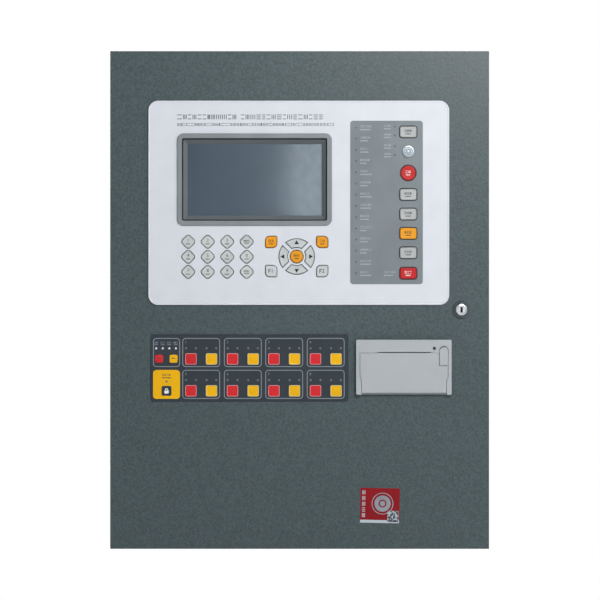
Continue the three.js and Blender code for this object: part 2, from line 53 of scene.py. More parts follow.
INK_RISE = 0.05  # millimetres that ink stands off its face
LOG = logging.getLogger("fire_panel")
Points = np.ndarray


# ---------------------------------------------------------------- outlines


def arc_points(centre: Sequence[float], radius: float, start: float, stop: float, steps: int) -> Points:
    """Returns rows of (x, z): the centre plus the radius times (cos, sin) of an angle that runs evenly."""
    angle = np.linspace(start, stop, steps)
    return np.stack([centre[0] + radius * np.cos(angle), centre[1] + radius * np.sin(angle)], axis=1)


@dataclass(frozen=True)
class RoundedRect:
    """A rectangle with rounded corners: lower left, lower right, upper right, upper left radii."""

    width: float
    height: float
    radii: tuple[float, float, float, float]
    steps: int = 7

    @staticmethod
    def even(width: float, height: float, radius: float, steps: int = 7) -> "RoundedRect":
        """Returns a rectangle whose four corners share one radius."""
        return RoundedRect(width, height, (radius,) * 4, steps)

    def ring(self, inset: float = 0.0) -> Points:
        """Works out the outline moved inwards, each corner a quarter arc about its own centre.

        Args:
            inset: How far the outline moves inwards; below 0 it grows.

        Returns:
            The outline's points, anticlockwise.
        """
        half_x = self.width / 2 - inset
        half_z = self.height / 2 - inset
        corners = []
        for index, (side_x, side_z) in enumerate(((-1, -1), (1, -1), (1, 1), (-1, 1))):
            radius = max(self.radii[index] - inset, 0.05)
            centre = (side_x * (half_x - radius), side_z * (half_z - radius))
            start = math.pi + index * math.pi / 2
            corners.append(arc_points(centre, radius, start, start + math.pi / 2, self.steps))
        return np.concatenate(corners)


@dataclass(frozen=True)
class Disc:
    """A circle."""

    radius: float
    steps: int = 48

    def ring(self, inset: float = 0.0) -> Points:
        """Returns evenly spaced points at the radius less the inset."""
        full = arc_points((0, 0), self.radius - inset, 0, 2 * math.pi, self.steps + 1)
        return full[:-1]


@dataclass(frozen=True)
class Diamond:
    """A square standing on a rounded corner; half is half of its height."""

    half: float
    corner: float
    steps: int = 7

    def ring(self, inset: float = 0.0) -> Points:
        """Works out four arcs whose centres stay put while their radius shrinks by the inset.

        Args:
            inset: How far the outline moves inwards.

        Returns:
            The outline's points, anticlockwise.
        """
        reach = self.half - self.corner
        radius = self.corner - inset
        if radius < 0.05:
            reach -= (0.05 - radius) * math.sqrt(2)
            radius = 0.05
        arcs = []
        for side in range(4):
            angle = side * math.pi / 2
            centre = (reach * math.cos(angle), reach * math.sin(angle))
            arcs.append(arc_points(centre, radius, angle - math.pi / 4, angle + math.pi / 4, self.steps))
        return np.concatenate(arcs)


@dataclass(frozen=True)
class QuarterRing:
    """A quarter of a ring, cut back from both diagonals, turned by whole quarters."""

    inner: float
    outer: float
    half_gap: float
    quarter: int
    steps: int = 14

    def ring(self, inset: float = 0.0) -> Points:
        """Works out an outer arc one way and an inner arc back.

        Args:
            inset: How far the outline moves inwards.

        Returns:
            The outline's points, anticlockwise.
        """
        inner, outer, gap = self.inner + inset, self.outer - inset, self.half_gap + inset
        turn = self.quarter * math.pi / 2
        wide = math.pi / 4 - math.asin(gap / outer)
        tight = math.pi / 4 - math.asin(gap / inner)
        out = arc_points((0, 0), outer, turn - wide, turn + wide, self.steps)
        back = arc_points((0, 0), inner, turn + tight, turn - tight, self.steps)
        return np.concatenate([out, back])


# ---------------------------------------------------------------- places


@dataclass(frozen=True)
class Place:
    """Where a CAD node stands, in millimetres."""

    low: Points
    high: Points

    @staticmethod
    def of(node: str) -> "Place":
        """Returns the place of a node of the frame."""
        low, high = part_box(node)
        return Place(np.array(low) / MM, np.array(high) / MM)

    @property
    def centre(self) -> Points:
        """The middle of the box."""
        return (self.low + self.high) / 2

    @property
    def middle(self) -> tuple[float, float]:
        """The (x, z) of the box's middle."""
        return (self.centre[0], self.centre[2])

    @property
    def size(self) -> Points:
        """The box's three sizes."""
        return self.high - self.low


# ---------------------------------------------------------------- meshes


def new_object(name: str, vertices: Points, faces: Sequence[Sequence[int]], sharp: float = SHARP) -> bpy.types.Object:
    """Makes an object from vertices in millimetres, smooth except over sharp edges.

    Args:
        name: The piece's name.
        vertices: Rows of (x, y, z) in millimetres.
        faces: Vertex numbers of each face.
        sharp: Edges that bend more than this, in degrees, stay sharp.

    Returns:
        The new object, at the origin.
    """
    mesh = bpy.data.meshes.new(name)
    mesh.from_pydata((np.asarray(vertices, dtype=float) * MM).tolist(), [], faces)
    return finish_mesh(name, mesh, sharp)


def finish_mesh(name: str, mesh: bpy.types.Mesh, sharp: float = SHARP) -> bpy.types.Object:
    """Cleans a mesh, shades it and links its object.

    Args:
        name: The piece's name.
        mesh: The mesh, in metres.
        sharp: Edges that bend more than this, in degrees, stay sharp.

    Returns:
        The new object, at the origin.
    """
    mesh.validate()
    mesh.polygons.foreach_set("use_smooth", np.ones(len(mesh.polygons), dtype=bool))
    mesh.set_sharp_from_angle(angle=math.radians(sharp))
    flatten(mesh)
    piece = bpy.data.objects.new(name, mesh)
    bpy.context.scene.collection.objects.link(piece)
    return piece


def flatten(mesh: bpy.types.Mesh) -> None:
    """Shades every face that looks straight along Y as the plane that it is."""
    mesh.update()
    normals = np.zeros(len(mesh.polygons) * 3)
    mesh.polygons.foreach_get("normal", normals)
    mesh.polygons.foreach_set("use_smooth", np.abs(normals[1::3]) < 0.9999)
    mesh.update()


def ring_faces(rings: int, points: int, closed: bool) -> list[list[int]]:
    """Numbers the quads between rings of equal length, wound to face out of a shape seen from -Y.

    Args:
        rings: How many rings there are.
        points: Points in each ring.
        closed: True if the last ring joins the first.

    Returns:
        The quads' vertex numbers.
    """
    count = rings if closed else rings - 1
    ring, point = np.meshgrid(np.arange(count), np.arange(points), indexing="ij")
    following = (ring + 1) % rings
    beside = (point + 1) % points
    quads = np.stack([ring * points + point, ring * points + beside,
                      following * points + beside, following * points + point], axis=-1)
    return quads.reshape(-1, 4).tolist()


def ring_vertices(outline: object, sections: Sequence[tuple[float, float]], centre: Sequence[float]) -> Points:
    """Stacks an outline's rings: each is the outline at one inset, held at one depth.

    Args:
        outline: A shape with a ring method.
        sections: Pairs of (inset, y).
        centre: The (x, z) that the outline stands about.

    Returns:
        All the rings' points as rows of (x, y, z).
    """
    rings = []
    for inset, depth in sections:
        flat = outline.ring(inset)
        rings.append(np.stack([centre[0] + flat[:, 0], np.full(len(flat), depth), centre[1] + flat[:, 1]], axis=1))
    return np.concatenate(rings)


def stacked(outline: object, sections: Sequence[tuple[float, float]], centre: Sequence[float]) -> tuple[Points, list]:
    """Makes a solid from rings that run from its back to its front, with flat ends.

    Args:
        outline: A shape with a ring method.
        sections: Pairs of (inset, y), the back one first.
        centre: The (x, z) that the outline stands about.

    Returns:
        The vertices and faces.
    """
    vertices = ring_vertices(outline, sections, centre)
    points = len(vertices) // len(sections)
    faces = ring_faces(len(sections), points, False)
    faces.append(list(range(points))[::-1])
    last = (len(sections) - 1) * points
    faces.append([last + index for index in range(points)])
    return vertices, faces


def framed(outline: object, sections: Sequence[tuple[float, float]], centre: Sequence[float]) -> tuple[Points, list]:
    """Makes a closed frame: its section is a closed profile carried round the outline.

    Args:
        outline: A shape with a ring method.
        sections: Pairs of (inset, y) that go once round the profile: outer side forwards, inner side back.
        centre: The (x, z) that the outline stands about.

    Returns:
        The vertices and faces.
    """
    vertices = ring_vertices(outline, sections, centre)
    points = len(vertices) // len(sections)
    return vertices, ring_faces(len(sections), points, True)


def merged(parts: Iterable[tuple[Points, list]]) -> tuple[Points, list]:
    """Puts several closed shapes into one list of vertices and faces.

    Args:
        parts: The shapes, each its vertices and faces.

    Returns:
        All the vertices, and the faces numbered to match.
    """
    vertices, faces, first = [], [], 0
    for points, polygons in parts:
        vertices.append(points)
        faces.extend([[first + index for index in polygon] for polygon in polygons])
        first += len(points)
    return np.concatenate(vertices), faces


def rounded_edge(back: float, front: float, radius: float, steps: int = 4) -> list[tuple[float, float]]:
    """Sections of a plate whose front edge is a quarter round.

    Args:
        back: The back's y.
        front: The front's y, which is lower.
        radius: The edge's radius.
        steps: Points along the quarter round.

    Returns:
        Pairs of (inset, y): inset is r(1 - cos a) and y falls by r sin a as a runs to 90 degrees.
    """
    angle = np.linspace(0, math.pi / 2, steps)
    inset = radius * (1 - np.cos(angle))
    depth = front + radius - radius * np.sin(angle)
    return [(0.0, back), *zip(inset.tolist(), depth.tolist())]


def turned_ring(profile: Points, centre: Sequence[float], axis: str, steps: int = 64) -> tuple[Points, list]:
    """Turns a closed profile of (radius, height) points about an axis.

    Each point goes to (r cos a, r sin a) across the axis and keeps its height along it.

    Args:
        profile: Rows of (radius, height), anticlockwise with radius to the right.
        centre: The axis point, (x, y, z); the height adds to the coordinate along the axis.
        axis: X, Y or Z.
        steps: Points round the axis.

    Returns:
        The vertices and faces.
    """
    angle = np.linspace(0, 2 * math.pi, steps, endpoint=False)
    radius = profile[:, 0][:, None]
    height = np.repeat(profile[:, 1][:, None], steps, axis=1)
    across, aside = radius * np.cos(angle), radius * np.sin(angle)
    order = {"Z": (across, aside, height), "X": (height, across, aside), "Y": (aside, height, across)}[axis]
    vertices = np.stack(order, axis=-1).reshape(-1, 3) + np.asarray(centre, dtype=float)
    return vertices, ring_faces(len(profile), steps, True)


def turned_bar(profile: Sequence[tuple[float, float]], centre: Sequence[float], axis: str,
               steps: int = 64) -> tuple[Points, list]:
    """Turns an open profile about an axis and closes both ends with flat faces.

    Args:
        profile: (radius, height) from the low end to the high end, off the axis.
        centre: The axis point.
        axis: X, Y or Z.
        steps: Points round the axis.

    Returns:
        The vertices and faces.
    """
    rows = len(profile)
    vertices, faces = turned_ring(np.asarray(profile, dtype=float), centre, axis, steps)
    faces = faces[: (rows - 1) * steps]
    faces.append(list(range(steps))[::-1])
    faces.append([(rows - 1) * steps + index for index in range(steps)])
    return vertices, faces


def boxes(rows: Sequence[Sequence[float]]) -> tuple[Points, list]:
    """Makes many boxes at once from rows of (x0, x1, y0, y1, z0, z1).

    Args:
        rows: The boxes' limits in millimetres.

    Returns:
        The vertices and faces: eight corners a box, picked by three on-off patterns.
    """
    limits = np.asarray(rows, dtype=float).reshape(-1, 3, 2)
    pick = np.array([[0, 0, 0], [1, 0, 0], [1, 0, 1], [0, 0, 1], [0, 1, 0], [1, 1, 0], [1, 1, 1], [0, 1, 1]])
    vertices = np.stack([limits[:, axis][:, pick[:, axis]] for axis in range(3)], axis=-1).reshape(-1, 3)
    quads = np.array([[0, 1, 2, 3], [5, 4, 7, 6], [4, 0, 3, 7], [1, 5, 6, 2], [3, 2, 6, 7], [4, 5, 1, 0]])
    first = np.arange(len(limits))[:, None, None] * 8
    return vertices, (quads[None] + first).reshape(-1, 4).tolist()


def coordinates(mesh: bpy.types.Mesh) -> Points:
    """Returns a mesh's vertices as rows of (x, y, z) in metres."""
    raw = np.zeros(len(mesh.vertices) * 3)
    mesh.vertices.foreach_get("co", raw)
    return raw.reshape(-1, 3)


def curve_mesh(name: str, curve: bpy.types.Curve) -> tuple[bpy.types.Mesh, Points]:
    """Turns a flat curve or type into a mesh.

    Args:
        name: The piece's name.
        curve: The curve's data.

    Returns:
        The mesh, without materials, and its vertices as rows of (x, y, z) in metres.
    """
    holder = bpy.data.objects.new(name + "_curve", curve)
    bpy.context.scene.collection.objects.link(holder)
    bpy.context.view_layer.update()
    mesh = bpy.data.meshes.new_from_object(holder.evaluated_get(bpy.context.evaluated_depsgraph_get()))
    bpy.data.objects.remove(holder)
    mesh.materials.clear()
    return mesh, coordinates(mesh)


def plate_with_holes(name: str, outlines: Sequence[Points], back: float, front: float,
                     bevel: float) -> bpy.types.Object:
    """Makes a flat plate from an outline and its holes, with its edges slightly rounded.

    The outlines become a filled flat curve, whose thickness and edge rounding are the curve's own,
    and whose (x, y, depth) go to (x, -depth, z) once it is a mesh.

    Args:
        name: The piece's name.
        outlines: The outer outline, then the holes, as rows of (x, z) in millimetres.
        back: The plate's back y.
        front: The plate's front y.
        bevel: Edge rounding radius.

    Returns:
        The plate, at the origin.
    """
    curve = bpy.data.curves.new(name, "CURVE")
    curve.dimensions = "2D"
    curve.fill_mode = "BOTH"
    curve.extrude = ((back - front) / 2 - bevel) * MM
    curve.bevel_depth = bevel * MM
    curve.bevel_resolution = 1
    curve.offset = -bevel * MM
    for outline in outlines:
        spline = curve.splines.new("POLY")
        spline.points.add(len(outline) - 1)
        flat = np.zeros((len(outline), 4))
        flat[:, :2] = outline * MM
        flat[:, 3] = 1
        spline.points.foreach_set("co", flat.ravel())
        spline.use_cyclic_u = True
    mesh, raw = curve_mesh(name, curve)
    placed = np.stack([raw[:, 0], (back + front) / 2 * MM - raw[:, 2], raw[:, 1]], axis=1)
    mesh.vertices.foreach_set("co", placed.ravel())
    return weld(finish_mesh(name, mesh), 1e-6)


def weld(piece: bpy.types.Object, distance: float) -> bpy.types.Object:
    """Merges a piece's doubled vertices and turns its faces outwards.

    Args:
        piece: The piece.
        distance: Vertices nearer than this, in metres, become one.

    Returns:
        The same piece.
    """
    mesh = piece.data
    work = bmesh.new()
    work.from_mesh(mesh)
    bmesh.ops.remove_doubles(work, verts=work.verts, dist=distance)
    bmesh.ops.recalc_face_normals(work, faces=work.faces)
    work.to_mesh(mesh)
    work.free()
    mesh.set_sharp_from_angle(angle=math.radians(SHARP))
    flatten(mesh)
    return piece


def refined(node: str, width: float, segments: int = 3, cuts: Sequence[float] = (), levels: Sequence[float] = (),
            reshape: Callable[[Points], Points] | None = None) -> bpy.types.Object:
    """Copies a CAD node with its doubled vertices merged and its sharp edges rounded.

    Args:
        node: The CAD node that the copy stands for.
        width: The rounding of each edge in millimetres.
        segments: Faces across each rounding.
        cuts: Places along X, in millimetres, where flat faces are divided, one through each
            hole, so that no face has a hole within it.
        levels: Places along Z where the faces are divided too.
        reshape: Moves the vertices, given as rows of (x, y, z) in millimetres, before the rounding.

    Returns:
        The new piece.
    """
    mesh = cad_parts[node].data.copy()
    mesh.materials.clear()
    work = bmesh.new()
    work.from_mesh(mesh)
    bmesh.ops.remove_doubles(work, verts=work.verts, dist=2e-6)
    planes = [((cut * MM, 0, 0), (1, 0, 0)) for cut in cuts] + [((0, 0, level * MM), (0, 0, 1)) for level in levels]
    for point, normal in planes:
        every = [*work.verts, *work.edges, *work.faces]
        made = bmesh.ops.bisect_plane(work, geom=every, dist=1e-7, plane_co=point, plane_no=normal)
        for part in made["geom_cut"]:
            if isinstance(part, bmesh.types.BMEdge):
                part.seam = True
    bmesh.ops.dissolve_limit(work, angle_limit=math.radians(0.5), verts=work.verts, edges=work.edges, delimit={"SEAM"})
    work.to_mesh(mesh)
    work.free()
    if reshape is not None:
        mesh.vertices.foreach_set("co", (reshape(coordinates(mesh) / MM) * MM).ravel())
        mesh.update()
    piece = finish_mesh(node + "_shape", mesh)
    bevel = piece.modifiers.new("edges", "BEVEL")
    bevel.width = width * MM
    bevel.segments = segments
    bevel.limit_method = "ANGLE"
    bevel.angle_limit = math.radians(40)
    bevel.use_clamp_overlap = True
    bevel.harden_normals = True
    bevel.miter_outer = "MITER_ARC"
    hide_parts(node)
    return piece


# ---------------------------------------------------------------- finishes


def linear(red: float, green: float, blue: float) -> tuple[float, float, float, float]:
    """Turns display values from 0 to 255 into the linear colour that shaders use."""
    channels = np.array([red, green, blue]) / 255
    low = channels / 12.92
    high = ((channels + 0.055) / 1.055) ** 2.4
    return (*np.where(channels <= 0.04045, low, high).tolist(), 1.0)


class Graph:
    """A material's node tree, with short calls to add nodes and join them."""

    def __init__(self, name: str) -> None:
        """Starts a material with a Principled shader and its output.

        Args:
            name: The material's name.
        """
        self.material = bpy.data.materials.new(name)
        self.material.use_nodes = True
        self.tree = self.material.node_tree
        self.tree.nodes.clear()
        self.output = self.tree.nodes.new("ShaderNodeOutputMaterial")
        self.shader = self.tree.nodes.new("ShaderNodeBsdfPrincipled")
        self.tree.links.new(self.shader.outputs[0], self.output.inputs["Surface"])
        self.place = self.tree.nodes.new("ShaderNodeTexCoord").outputs["Object"]

    def set(self, **values: object) -> None:
        """Sets constants on the shader's own sockets; underscores stand for spaces."""
        for key, value in values.items():
            self.shader.inputs[key.replace("_", " ")].default_value = value

    def link(self, source: object, target: object) -> None:
        """Joins an output to an input."""
        self.tree.links.new(source, target)

    def noise(self, scale: float, detail: float = 3.0, stretch: Sequence[float] = (1, 1, 1)) -> object:
        """Adds noise on Object coordinates.

        Args:
            scale: Cells per metre.
            detail: Octaves.
            stretch: Scale of each axis.

        Returns:
            The noise's value output.
        """
        mapping = self.tree.nodes.new("ShaderNodeMapping")
        mapping.inputs["Scale"].default_value = stretch
        self.link(self.place, mapping.inputs["Vector"])
        noise = self.tree.nodes.new("ShaderNodeTexNoise")
        noise.inputs["Scale"].default_value = scale
        noise.inputs["Detail"].default_value = detail
        self.link(mapping.outputs[0], noise.inputs["Vector"])
        return noise.outputs[0]

    def cells(self, scale: float) -> object:
        """Adds a cell pattern's distance on Object coordinates and returns its output."""
        cells = self.tree.nodes.new("ShaderNodeTexVoronoi")
        cells.inputs["Scale"].default_value = scale
        self.link(self.place, cells.inputs["Vector"])
        return cells.outputs["Distance"]

    def spread(self, source: object, low: float, high: float, from_low: float = 0.3, from_high: float = 0.7) -> object:
        """Maps a value from one range to another.

        Args:
            source: The output to map.
            low: The result where the value is from_low.
            high: The result where the value is from_high.
            from_low: The low end of the value's range.
            from_high: The high end of the value's range.

        Returns:
            The mapped value's output.
        """
        node = self.tree.nodes.new("ShaderNodeMapRange")
        node.inputs["From Min"].default_value = from_low
        node.inputs["From Max"].default_value = from_high
        node.inputs["To Min"].default_value = low
        node.inputs["To Max"].default_value = high
        self.link(source, node.inputs["Value"])
        return node.outputs[0]

    def blend(self, factor: object, first: object, second: object) -> object:
        """Mixes two colours.

        Args:
            factor: The output that mixes them.
            first: A colour or an output, shown where factor is 0.
            second: A colour or an output, shown where factor is 1.

        Returns:
            The mixed colour's output.
        """
        node = self.tree.nodes.new("ShaderNodeMix")
        node.data_type = "RGBA"
        self.link(factor, node.inputs["Factor"])
        for socket, value in ((node.inputs[6], first), (node.inputs[7], second)):
            if isinstance(value, tuple):
                socket.default_value = value
            else:
                self.link(value, socket)
        return node.outputs[2]

    def bump(self, height: object, distance: float, strength: float = 1.0, under: object = None) -> object:
        """Adds a bump of a real height over another bump if one is given.

        Args:
            height: The output that holds the height, from 0 to 1.
            distance: The height of a whole step in millimetres.
            strength: The share of the bump that shows.
            under: Another bump's output, or nothing.

        Returns:
            The bumped normal's output.
        """
        node = self.tree.nodes.new("ShaderNodeBump")
        node.inputs["Distance"].default_value = distance * MM
        node.inputs["Strength"].default_value = strength
        self.link(height, node.inputs["Height"])
        if under is not None:
            self.link(under, node.inputs["Normal"])
        return node.outputs[0]

    def show(self, seen: object) -> None:
        """Shows another shader to the camera alone, in place of the surface that the light meets.

        Args:
            seen: The node of the shader that the camera sees.
        """
        path, mix = self.tree.nodes.new("ShaderNodeLightPath"), self.tree.nodes.new("ShaderNodeMixShader")
        surface = next(node for node in self.tree.nodes if node.type == "OUTPUT_MATERIAL").inputs["Surface"]
        self.link(path.outputs["Is Camera Ray"], mix.inputs[0])
        self.link(self.shader.outputs[0], mix.inputs[1])
        self.link(seen.outputs[0], mix.inputs[2])
        self.link(mix.outputs[0], surface)

    def colour(self, source: object) -> None:
        """Joins an output to the shader's base colour."""
        self.link(source, self.shader.inputs["Base Color"])

    def rough(self, source: object) -> None:
        """Joins an output to the shader's roughness."""
        self.link(source, self.shader.inputs["Roughness"])

    def normal(self, source: object) -> None:
        """Joins an output to the shader's normal."""
        self.link(source, self.shader.inputs["Normal"])


def shade(colour: tuple[float, float, float], factor: float) -> tuple[float, float, float, float]:
    """Returns a display colour made lighter or darker by a factor, as a linear colour."""
    return linear(*(min(255.0, channel * factor) for channel in colour))


@dataclass(frozen=True)
class PowderCoat:
    """Baked powder paint: a fine orange-peel texture, flecked with lighter grains and faintly mottled."""

    name: str
    colour: tuple[float, float, float]
    warm: tuple[float, float, float] = (74, 81, 80)
    cool: tuple[float, float, float] = (62, 78, 88)
    roughness: float = 0.42

    def build(self) -> bpy.types.Material:
        """Returns the material."""
        graph = Graph(self.name)
        fleck = graph.noise(1100, 2.0)
        patch = graph.noise(460, 2.0)
        tone = graph.blend(graph.spread(fleck, 0, 1, 0.35, 0.65), shade(self.colour, 0.8), shade(self.colour, 1.18))
        mottle = graph.blend(graph.spread(graph.noise(150, 3.0), 0, 1), shade(self.warm, 1.0), shade(self.cool, 1.0))
        grain = graph.blend(graph.spread(patch, 0, 1, 0.35, 0.65), shade(self.colour, 0.76), shade(self.colour, 1.22))
        toned = graph.blend(graph.spread(fleck, 0.25, 0.65), grain, tone)
        graph.colour(graph.blend(graph.spread(graph.noise(190, 2.0), 0.0, 0.4), toned, mottle))
        graph.rough(graph.spread(patch, self.roughness - 0.05, self.roughness + 0.06))
        peel = graph.bump(patch, 0.18, 0.8)
        graph.normal(graph.bump(fleck, 0.03, 0.5, peel))
        graph.set(Metallic=0.0, Coat_Weight=0.12, Coat_Roughness=0.35)
        return graph.material


@dataclass(frozen=True)
class MouldedPlastic:
    """Moulded plastic with a fine spark-eroded grain and faint handling marks."""

    name: str
    colour: tuple[float, float, float]
    roughness: float = 0.42
    grain: float = 0.012
    variation: float = 0.03

    def build(self) -> bpy.types.Material:
        """Returns the material."""
        graph = Graph(self.name)
        cloud = graph.noise(35, 4.0)
        grain = graph.noise(2600, 2.0)
        light, dark = shade(self.colour, 1 + self.variation), shade(self.colour, 1 - self.variation)
        graph.colour(graph.blend(graph.spread(cloud, 0, 1), dark, light))
        graph.rough(graph.spread(graph.noise(420, 3.0), self.roughness - 0.06, self.roughness + 0.07))
        graph.normal(graph.bump(grain, self.grain, 0.8))
        graph.set(Specular_IOR_Level=0.45)
        return graph.material


@dataclass(frozen=True)
class PrintedInk:
    """Screen-printed ink: slightly uneven in tone, a little raised and satin."""

    name: str
    colour: tuple[float, float, float]

    def build(self) -> bpy.types.Material:
        """Returns the material."""
        graph = Graph(self.name)
        speck = graph.noise(3000, 2.0)
        graph.colour(graph.blend(graph.spread(speck, 0, 1), shade(self.colour, 0.94), shade(self.colour, 1.06)))
        graph.rough(graph.spread(speck, 0.42, 0.55))
        graph.normal(graph.bump(speck, 0.004, 0.5))
        return graph.material


@dataclass(frozen=True)
class SatinMetal:
    """Bare or plated metal: drawn lines along one axis over a soft cloud of wear."""

    name: str
    colour: tuple[float, float, float]
    roughness: float
    lines: tuple[float, float, float] = (1, 1, 1)
    wear: float = 0.08

    def build(self) -> bpy.types.Material:
        """Returns the material."""
        graph = Graph(self.name)
        cloud = graph.noise(60, 5.0)
        drawn = graph.noise(900, 2.0, self.lines)
        worn, fresh = shade(self.colour, 1 - self.wear), shade(self.colour, 1 + self.wear)
        graph.colour(graph.blend(graph.spread(cloud, 0, 1), worn, fresh))
        graph.rough(graph.spread(drawn, self.roughness * 0.8, self.roughness * 1.25))
        graph.normal(graph.bump(drawn, 0.006, 0.5))
        graph.set(Metallic=1.0)
        return graph.material


@dataclass(frozen=True)
class DisplayWindow:
    """The hard-coated window over a dark display: smooth, with a faint dusty haze."""

    name: str
    colour: tuple[float, float, float]

    def build(self) -> bpy.types.Material:
        """Returns the material."""
        graph = Graph(self.name)
        haze = graph.noise(14, 3.0)
        graph.colour(graph.blend(graph.spread(haze, 0, 1), shade(self.colour, 0.95), shade(self.colour, 1.05)))
        graph.rough(graph.spread(graph.noise(180, 4.0), 0.14, 0.2))
        graph.set(Specular_IOR_Level=0.6, Coat_Weight=0.5, Coat_Roughness=0.08)
        return graph.material


@dataclass(frozen=True)
class MembraneFilm:
    """Printed polyester film with a fine velvet texture over its face."""

    name: str
    colour: tuple[float, float, float]
    roughness: float = 0.38
    gloss: float = 0.25

    def build(self) -> bpy.types.Material:
        """Returns the material."""
        graph = Graph(self.name)
        velvet = graph.noise(3200, 1.0)
        cloud = graph.noise(25, 3.0)
        graph.colour(graph.blend(graph.spread(cloud, 0, 1), shade(self.colour, 0.96), shade(self.colour, 1.04)))
        graph.rough(graph.spread(velvet, self.roughness - 0.04, self.roughness + 0.06))
        graph.normal(graph.bump(velvet, 0.008, 0.6))
        graph.set(Specular_IOR_Level=self.gloss)
        return graph.material


@dataclass(frozen=True)
class SolderMask:
    """A circuit board: green mask over copper tracks that show as lighter lines."""

    name: str
    colour: tuple[float, float, float] = (24, 92, 58)

    def build(self) -> bpy.types.Material:
        """Returns the material."""
        graph = Graph(self.name)
        brick = graph.tree.nodes.new("ShaderNodeTexBrick")
        mapping = graph.tree.nodes.new("ShaderNodeMapping")
        mapping.inputs["Rotation"].default_value = (math.pi / 2, 0, 0)
        graph.link(graph.place, mapping.inputs["Vector"])
        graph.link(mapping.outputs[0], brick.inputs["Vector"])
        brick.inputs["Scale"].default_value = 110
        brick.inputs["Mortar Size"].default_value = 0.035
        brick.inputs["Color1"].default_value = (0, 0, 0, 1)
        brick.inputs["Color2"].default_value = (0, 0, 0, 1)
        brick.inputs["Mortar"].default_value = (1, 1, 1, 1)
        patch = graph.spread(graph.noise(45, 2.0), 0, 1, 0.42, 0.5)
        tracks = graph.tree.nodes.new("ShaderNodeMath")
        tracks.operation = "MULTIPLY"
        graph.link(brick.outputs["Color"], tracks.inputs[0])
        graph.link(patch, tracks.inputs[1])
        graph.colour(graph.blend(tracks.outputs[0], shade(self.colour, 1.0), shade(self.colour, 1.28)))
        graph.rough(graph.spread(graph.noise(300, 2.0), 0.25, 0.4))
        graph.normal(graph.bump(tracks.outputs[0], 0.03, 0.8))
        return graph.material


@dataclass(frozen=True)
class SoftSurface:
    """Rubber, foam or paper: no gloss, with a matt grain."""

    name: str
    colour: tuple[float, float, float]
    roughness: float = 0.85
    grain: float = 0.05
    scale: float = 900

    def build(self) -> bpy.types.Material:
        """Returns the material."""
        graph = Graph(self.name)
        grain = graph.noise(self.scale, 3.0)
        graph.colour(graph.blend(graph.spread(grain, 0, 1), shade(self.colour, 0.9), shade(self.colour, 1.08)))
        graph.rough(graph.spread(grain, self.roughness - 0.08, min(1.0, self.roughness + 0.06)))
        graph.normal(graph.bump(grain, self.grain, 0.7))
        graph.set(Specular_IOR_Level=0.25)
        return graph.material


# Every material made so far, by its finish's name.
MADE: dict[str, bpy.types.Material] = {}


